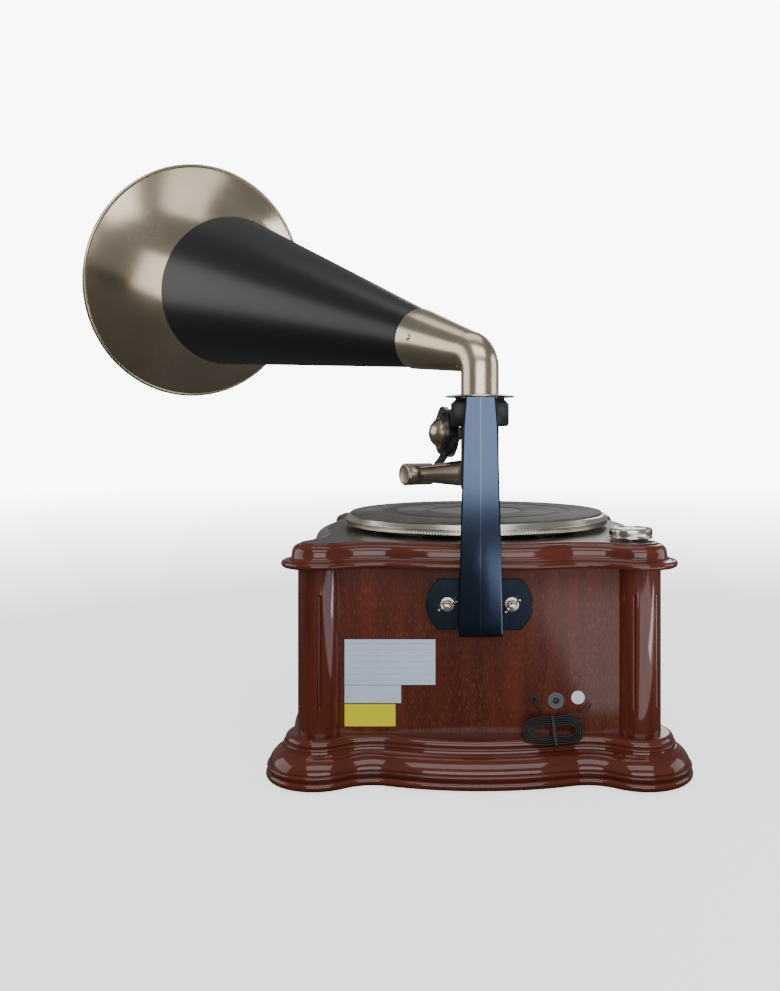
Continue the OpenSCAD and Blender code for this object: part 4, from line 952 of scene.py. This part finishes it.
# Bolts, washers and wing nuts: bright plated hardware that holds the bracket to the case.
nickel = grained("nickel_plating", (0.66, 0.62, 0.52), 0.16, 350, 0.1, 0.28, metal=1.0)
washer = eased(oblong(2.8, 6.4, 0, 1), 0.35)
thread_r, root_r, pitch = 2.5, 2.2, 0.5
bolt = [(0, -15), (5.5, -15), (5.5, -12), (thread_r, -12), (thread_r, 4)]
for i in range(26):
    bolt += [(thread_r, 4 + pitch * i), (root_r, 4 + pitch * (i + 0.5))]
bolt += [(2.3, 16.9), (1.9, 17), (0, 17)]
hub = eased([(2.6, 0), (4.6, 0), (4.4, 2.6), (3.7, 4.9), (2.6, 5)], 0.5)
ear_line = smooth([(1.5, 0.2), (5.8, 0.1), (7.6, 4.6), (7.6, 7.2), (6.3, 8.0), (4.8, 7.4), (3.8, 4.6),
                   (1.5, 4.2)], 3)
ear = extruded(ear_line, 0, 1.8)
ears = [moved(ear, turned(spin, "Z") @ at(2, 0.9, 1) @ turned(90, "X")) for spin in (0, 180)]
for x, name, body, turn in ((29, "left", "nut_left", 25), (-29, "right", "nut_right", 40)):
    seat = back_face @ at(x, 0, 0)
    bolts = make_piece("bracket_bolt_" + name, lathe(bolt, 32), seat, "cabinet", nickel, ())
    washers = make_piece("bracket_washer_" + name, lathe(washer, 48, True), seat @ at(0, 0, 4),
                         "cabinet", nickel, ())
    make_piece("wing_nut_" + name, joined(lathe(hub, 40, True), *ears),
               seat @ at(0, 0, 5) @ turned(turn, "Z"), body, nickel, [name + "_wing_nut"],
               bevel=0.4)
    if name == "left":
        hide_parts("bracket_bolts")
        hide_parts("bracket_washers")

# Pivot collar, bush and cover disc: a black painted ring welded to the bar's head, a brass bush
# in it, and a thin plated disc on the horn's neck that hides the joint.
pivot_y = 165


def smooth_copy(name, node, body, material, sharp=28, bevel=0.0):
    """The CAD node's own surface, merged and shaded smooth."""
    mesh = merged(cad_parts[node].data.copy(), 1e-6, False)
    return keep(name, mesh, body, material, [node], sharp, bevel)


matt_black = grained("collar_paint", (0.01, 0.01, 0.012), 0.45, 600, 0.38, 0.55, 4, 0.2)
smooth_copy("pivot_collar_ring", "pivot_collar", "cabinet", matt_black)
dress("pivot_bush", machined)
disc = eased([(18.61, 0.3), (31, 0.9), (31, 1.9), (17.02, 3.9), (17.02, 2.5), (18.61, 1.9)], 0.3)
make_piece("pivot_cover_disc", lathe(disc, 96, True), at(0, pivot_y, collar_top), "horn", nickel,
           ["pivot_flange"])

# Horn elbow: drawn metal tube, bent into a socket for the black cone, satin antique champagne.
bend_z = 382.5
horn_yaw, horn_pitch = 42, 13.6
horn_frame = at(0, pivot_y, bend_z) @ turned(horn_yaw, "Z") @ turned(90 - horn_pitch, "X")


def satin_bronze(name, low, high, rough):
    """Antique champagne plating: soft clouds of tone, a fine brushed grain, satin gloss."""
    material = finish(name, high, rough, metal=1.0)
    lie = stretched(material)
    clouds = speckle(material, lie, 9, 5, 0.55, 0.3)
    brushing = speckle(material, lie, 700, 3, 0.7)
    drive(material, "Base Color", ramp(material, clouds, (0.3, low), (0.7, high)))
    gloss = maths(material, "MULTIPLY", clouds, brushing)
    drive(material, "Roughness", band(material, gloss, rough - 0.08, rough + 0.16))
    raise_grain(material, brushing, 0.1, 0.00006)
    return material


bronze = satin_bronze("antique_champagne", (0.58, 0.485, 0.335), (0.74, 0.645, 0.475), 0.26)
cone_slope = 0.17
cone_end_s, cone_end_r = 475, 94
cone_start_s = 67


def cone_r(s):
    return cone_end_r - cone_slope * (cone_end_s - s)


bend_turn = math.radians(90 - horn_pitch)
bend_r = 19.1
bend_in = bend_r * math.tan(bend_turn / 2)
bend_low = bend_z - bend_in
socket_s = 87
socket_end_r = cone_r(socket_s) + 1.6
neck_r, neck_grow = 17, 1.9
socket_slope = (socket_end_r - neck_r - neck_grow) / (socket_s - bend_in)
around = [2 * math.pi * k / 96 for k in range(96)]


def neck_row(z, r):
    return [(r * math.sin(a), r * math.cos(a), z) for a in around]


def bend_row(turn, r):
    """One row of the bend, a little fuller on its outer side, as a drawn elbow is."""
    fuller = 1.3 * math.sin(math.pi * turn / bend_turn)
    row = []
    for a in around:
        d = bend_r + r * math.cos(a) + fuller * max(0, math.cos(a)) ** 2
        row.append((r * math.sin(a), d * math.cos(turn) - bend_r, bend_low + d * math.sin(turn)))
    return row


def horn_row(s, r):
    out, up = math.sin(math.radians(horn_pitch)), math.cos(math.radians(horn_pitch))
    return [(r * math.sin(a), -s * up + r * math.cos(a) * out, bend_z + s * out + r * math.cos(a) * up)
            for a in around]


def tube_rows(low, neck, grow, far_s, slope):
    """A tube's rows from its low end, round the bend and out along the horn."""
    rows = [neck_row(low, neck), neck_row((low + bend_low) / 2, neck), neck_row(bend_low - 1.5, neck)]
    rows += [bend_row(bend_turn * i / 14, neck + grow * (i / 14) ** 2) for i in range(15)]
    for i in range(6):
        s = bend_in + 1.5 + (far_s - bend_in - 1.5) * i / 5
        rows.append(horn_row(s, neck + grow + slope * (s - bend_in)))
    return rows


neck_low = collar_low + 12
lip_r, lip_top = 18.6, collar_top + 0.3
outer_rows = [neck_row(neck_low, lip_r), neck_row(lip_top, lip_r), neck_row(lip_top, neck_r)]
outer_rows += tube_rows(collar_top + 4, neck_r, neck_grow, socket_s - 0.6, socket_slope)
bore = cone_r(socket_s) + 0.02
inner_slope = (cone_r(cone_start_s) - 16.7) / (cone_start_s - bend_in)
inner_rows = [neck_row(neck_low, 15)] + tube_rows(neck_low + 10, 15, 1.3, cone_start_s, inner_slope)
elbow_rows = outer_rows + [
    horn_row(socket_s - 0.2, socket_end_r - 0.1), horn_row(socket_s, socket_end_r - 0.5),
    horn_row(socket_s, bore), horn_row(cone_start_s, cone_r(cone_start_s) + 0.02),
] + inner_rows[::-1]
make_piece("horn_elbow_drawn", skin(elbow_rows), at(0, pivot_y, 0) @ turned(horn_yaw, "Z"), "horn",
           bronze, ["horn_elbow"], sharp=38)

# Socket screws: three small round heads with a driver slot on a thin washer, round the socket.
screw_s = 72
screw_seat = (at(socket_end_r - socket_slope * (socket_s - screw_s), 0, screw_s)
              @ turned(90 + math.degrees(math.atan(socket_slope)), "Y"))
screw_head = [(0, 0.02), (3.6, 0.02), (3.6, 0.5), (2.9, 0.65), (2.8, 1.0), (2.3, 1.6), (1.2, 1.78),
              (0, 1.8)]
driver_slot = extruded(oblong(-4, 4, -0.35, 0.35), 1.1, 3)
for i in range(3):
    mesh = cut_away(lathe(screw_head, 32), [driver_slot])
    mesh.transform(MM @ horn_frame @ turned(5 + 120 * i, "Z") @ screw_seat)
    screw = keep("socket_screw_%d" % (i + 1), mesh, "horn", nickel, ())
    if i == 0:
        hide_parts("socket_screws")

# Black cone: rolled sheet, painted satin black inside and out, its small end in the socket.
sheet_t = 1.2
satin_black = grained("cone_paint", (0.0065, 0.0078, 0.011), 0.36, 500, 0.3, 0.44, 4, 0.12, coat=0.1,
                      coat_roughness=0.3)
cone_profile = [(cone_r(cone_start_s) - sheet_t, cone_start_s), (cone_r(cone_start_s), cone_start_s)]
cone_profile += [(cone_r(s), s) for s in range(110, cone_end_s, 40)]
cone_profile += [(cone_end_r, cone_end_s), (cone_end_r - sheet_t, cone_end_s)]
make_piece("horn_cone_rolled", lathe(cone_profile, 160, True), horn_frame, "horn", satin_black,
           ["horn_cone"])

# Bell: spun metal flare with a sleeve inside the cone's end and a rolled edge.
rim_s, rim_r, roll_r = 572, 156, 2.4
roll_c = (rim_r - roll_r, rim_s - roll_r)
flare_a0 = math.radians(15)
neck_in = cone_end_r - sheet_t
run_r = roll_c[0] - roll_r * math.sin(math.pi / 4) - neck_in
run_s = roll_c[1] - roll_r * math.cos(math.pi / 4) - cone_end_s
flare_a1 = 2 * math.atan2(run_r, run_s) - flare_a0
flare_r = math.hypot(run_r, run_s) / (2 * math.sin((flare_a1 - flare_a0) / 2))


def flare(t):
    a = flare_a0 + (flare_a1 - flare_a0) * t
    return (neck_in + flare_r * (math.cos(flare_a0) - math.cos(a)),
            cone_end_s + flare_r * (math.sin(a) - math.sin(flare_a0)))


flare_n = 26
sleeve_s = cone_end_s - 14
sleeve = cone_r(sleeve_s) - sheet_t - 0.1
flare_line = [flare(i / flare_n) for i in range(flare_n + 1)]
bell_profile = [(sleeve, sleeve_s)] + flare_line[:-1] + arc(*roll_c, roll_r, 225, 540, 22)
bell_profile += [(r - sheet_t, s) for r, s in flare_line[::-1]] + [(sleeve - sheet_t, sleeve_s)]
make_piece("horn_bell_spun", lathe(bell_profile, 200, True), horn_frame, "horn", bronze,
           ["horn_bell"], sharp=50)

# Tonearm: an upright tube that hangs in the bush, a tapered arm and a cross barrel at its end.
arm_bronze = satin_bronze("arm_bronze", (0.52, 0.425, 0.33), (0.66, 0.56, 0.45), 0.28)
smooth_copy("tonearm_drawn", "tonearm_tube", "arm", arm_bronze, sharp=40)

# Head: it folds over on a steel pin through the barrel. A cap and a black lever sit at the pin's
# ends, and the lever carries the round box with its dome, cartridge and stylus.
arm_yaw = 34
arm_l, hinge_z, barrel_l, barrel_r = 105, 271.7, 27, 11
arm_frame = at(0, pivot_y, 0) @ turned(arm_yaw, "Z")
dress("hinge_pin", bright_steel)
cap = eased([(0, 0), (barrel_r, 0), (barrel_r, 2), (barrel_r - 1, 3), (barrel_r - 3, 3),
             (barrel_r - 3.6, 2.6), (0, 2.6)], 0.3, 2, False)
make_piece("hinge_cap_turned", lathe(cap, 64),
           arm_frame @ at(barrel_l / 2 + 0.3, -arm_l, hinge_z) @ turned(90, "Y"), "head", arm_bronze,
           ["hinge_cap"])
smooth_copy("head_lever_cast", "head_lever", "head", matt_black, bevel=0.5)
box_r, box_t = 23, 14
box_frame = arm_frame @ at(0, 51 - arm_l, hinge_z + 40.5) @ turned(-17, "Z") @ turned(90, "Y")
box_black = grained("box_black", (0.011, 0.011, 0.012), 0.3, 700, 0.22, 0.4, 3, 0.12, 0.00008, coat=0.3,
                    coat_roughness=0.15)
drum = eased([(0, -box_t / 2), (box_r - 4, -box_t / 2), (box_r, 2 - box_t / 2), (box_r, box_t / 2 - 3),
              (box_r - 2, box_t / 2 - 3), (box_r - 3, box_t / 2), (0, box_t / 2)], 0.5, 3, False)
make_piece("sound_box_drum", lathe(drum, 96), box_frame, "head", box_black, ["sound_box"])
dome_r, dome_h, dome_lip = 14, 9, 1.2
ball_r = (dome_r ** 2 + dome_h ** 2) / (2 * dome_h)
dome = [(0, 0), (dome_r + 1, 0), (dome_r + 1, 0.9), (dome_r + 0.7, dome_lip), (dome_r, dome_lip)]
dome_edge = 90 - math.degrees(math.asin(dome_r / ball_r))
dome += arc(0, dome_lip + dome_h - ball_r, ball_r, dome_edge, 90, 14)
dome[-1] = (0, dome_lip + dome_h)
make_piece("sound_box_dome_spun", lathe(dome, 72), box_frame @ at(0, 0, box_t / 2), "head", arm_bronze,
           ["sound_box_dome"])
dress("cartridge", plastic("cartridge_plastic", (0.02, 0.02, 0.02), 0.4))
dress("stylus", bright_steel)

# Room for the picture: a pale floor and soft light from large panels behind the camera and above.
floor_half = 6
floor_corners = [(x, y, 0) for x, y in oblong(-floor_half, floor_half, -floor_half, floor_half)]
floor = placed("floor", drawn("floor", (floor_corners, [(0, 1, 2, 3)])))
floor_paper = finish("floor_paper", (0.8, 0.8, 0.8), 0.7, specular=0.1)
floor.data.materials.append(floor_paper)
far = distance_out(floor_paper, add_node(floor_paper, "TexCoord").outputs["Object"])
glow = add_node(floor_paper, "MapRange", Value=far,
                **{"From Min": 0.9, "From Max": 4.5, "To Min": 1.5, "To Max": 9.0})
looked_at = add_node(floor_paper, "LightPath")
glow_seen = maths(floor_paper, "MULTIPLY", glow.outputs["Result"], looked_at.outputs["Is Camera Ray"])
drive(floor_paper, "Emission Color", (1, 1, 1, 1))
drive(floor_paper, "Emission Strength", glow_seen)
drive(floor_paper, "Base Color", ramp(floor_paper, looked_at.outputs["Is Camera Ray"],
                                      (0.0, (0.12, 0.12, 0.125)), (1.0, (0.8, 0.8, 0.8))))
world = bpy.data.worlds.new("studio")
world.use_nodes = True
parts, wires = world.node_tree.nodes, world.node_tree.links
sky, backdrop = parts["Background"], parts.new("ShaderNodeBackground")
for shade, colour, strength in ((sky, (0.96, 0.97, 1.0, 1), 0.22), (backdrop, (1, 1, 1, 1), 9.0)):
    shade.inputs["Color"].default_value = colour
    shade.inputs["Strength"].default_value = strength
choice = parts.new("ShaderNodeMixShader")
wires.new(parts.new("ShaderNodeLightPath").outputs["Is Camera Ray"], choice.inputs["Fac"])
wires.new(sky.outputs["Background"], choice.inputs[1])
wires.new(backdrop.outputs["Background"], choice.inputs[2])
wires.new(choice.outputs["Shader"], parts["World Output"].inputs["Surface"])
bpy.context.scene.world = world


def soft_light(name, place, towards, size, power, colour):
    """A panel of light that the camera doesn't see."""
    data = bpy.data.lights.new(name, "AREA")
    data.shape = "RECTANGLE"
    data.size, data.size_y = size
    data.energy = power
    data.color = colour
    light = placed(name, data)
    light.location = place
    light.rotation_euler = (Vector(towards) - Vector(place)).to_track_quat("-Z", "Y").to_euler()
    light.visible_camera = False


soft_light("behind_camera", (-0.1, 2.6, 0.58), (-0.1, 0, 0.58), (2.2, 1.1), 24, (0.97, 0.98, 1.0))
soft_light("high_back", (0, 1.9, 2.1), (0, 0, 0.3), (2.4, 1.1), 20, (1, 0.99, 0.97))
soft_light("above", (0.1, -0.1, 2.3), (0.1, 0, 0), (1.6, 1.2), 7, (1, 1, 1))
soft_light("front", (-0.6, -2.2, 1.2), (0, 0, 0.2), (1.4, 1.0), 13, (1, 0.98, 0.95))
soft_light("left_side", (2.4, 0.1, 0.9), (0, 0.1, 0.6), (2.0, 1.5), 15, (1.0, 0.98, 0.95))
soft_light("right_side", (-2.4, 0.0, 0.85), (0, 0, 0.5), (1.6, 1.3), 12, (0.94, 0.97, 1.0))
soft_light("low_right", (-0.5, 0.68, 0.012), (-0.5, 0.68, 2), (0.76, 0.75), 3.4, (0.9, 0.93, 1.0))
soft_light("low_strip", (-0.73, 0.43, 0.02), (-0.73, 0.43, 2), (0.6, 0.12), 1.8, (0.9, 0.93, 1.0))
soft_light("low_spot", (0, 0.99, 0.012), (0, 0.99, 2), (0.1, 0.12), 0.12, (0.9, 0.94, 1.0))
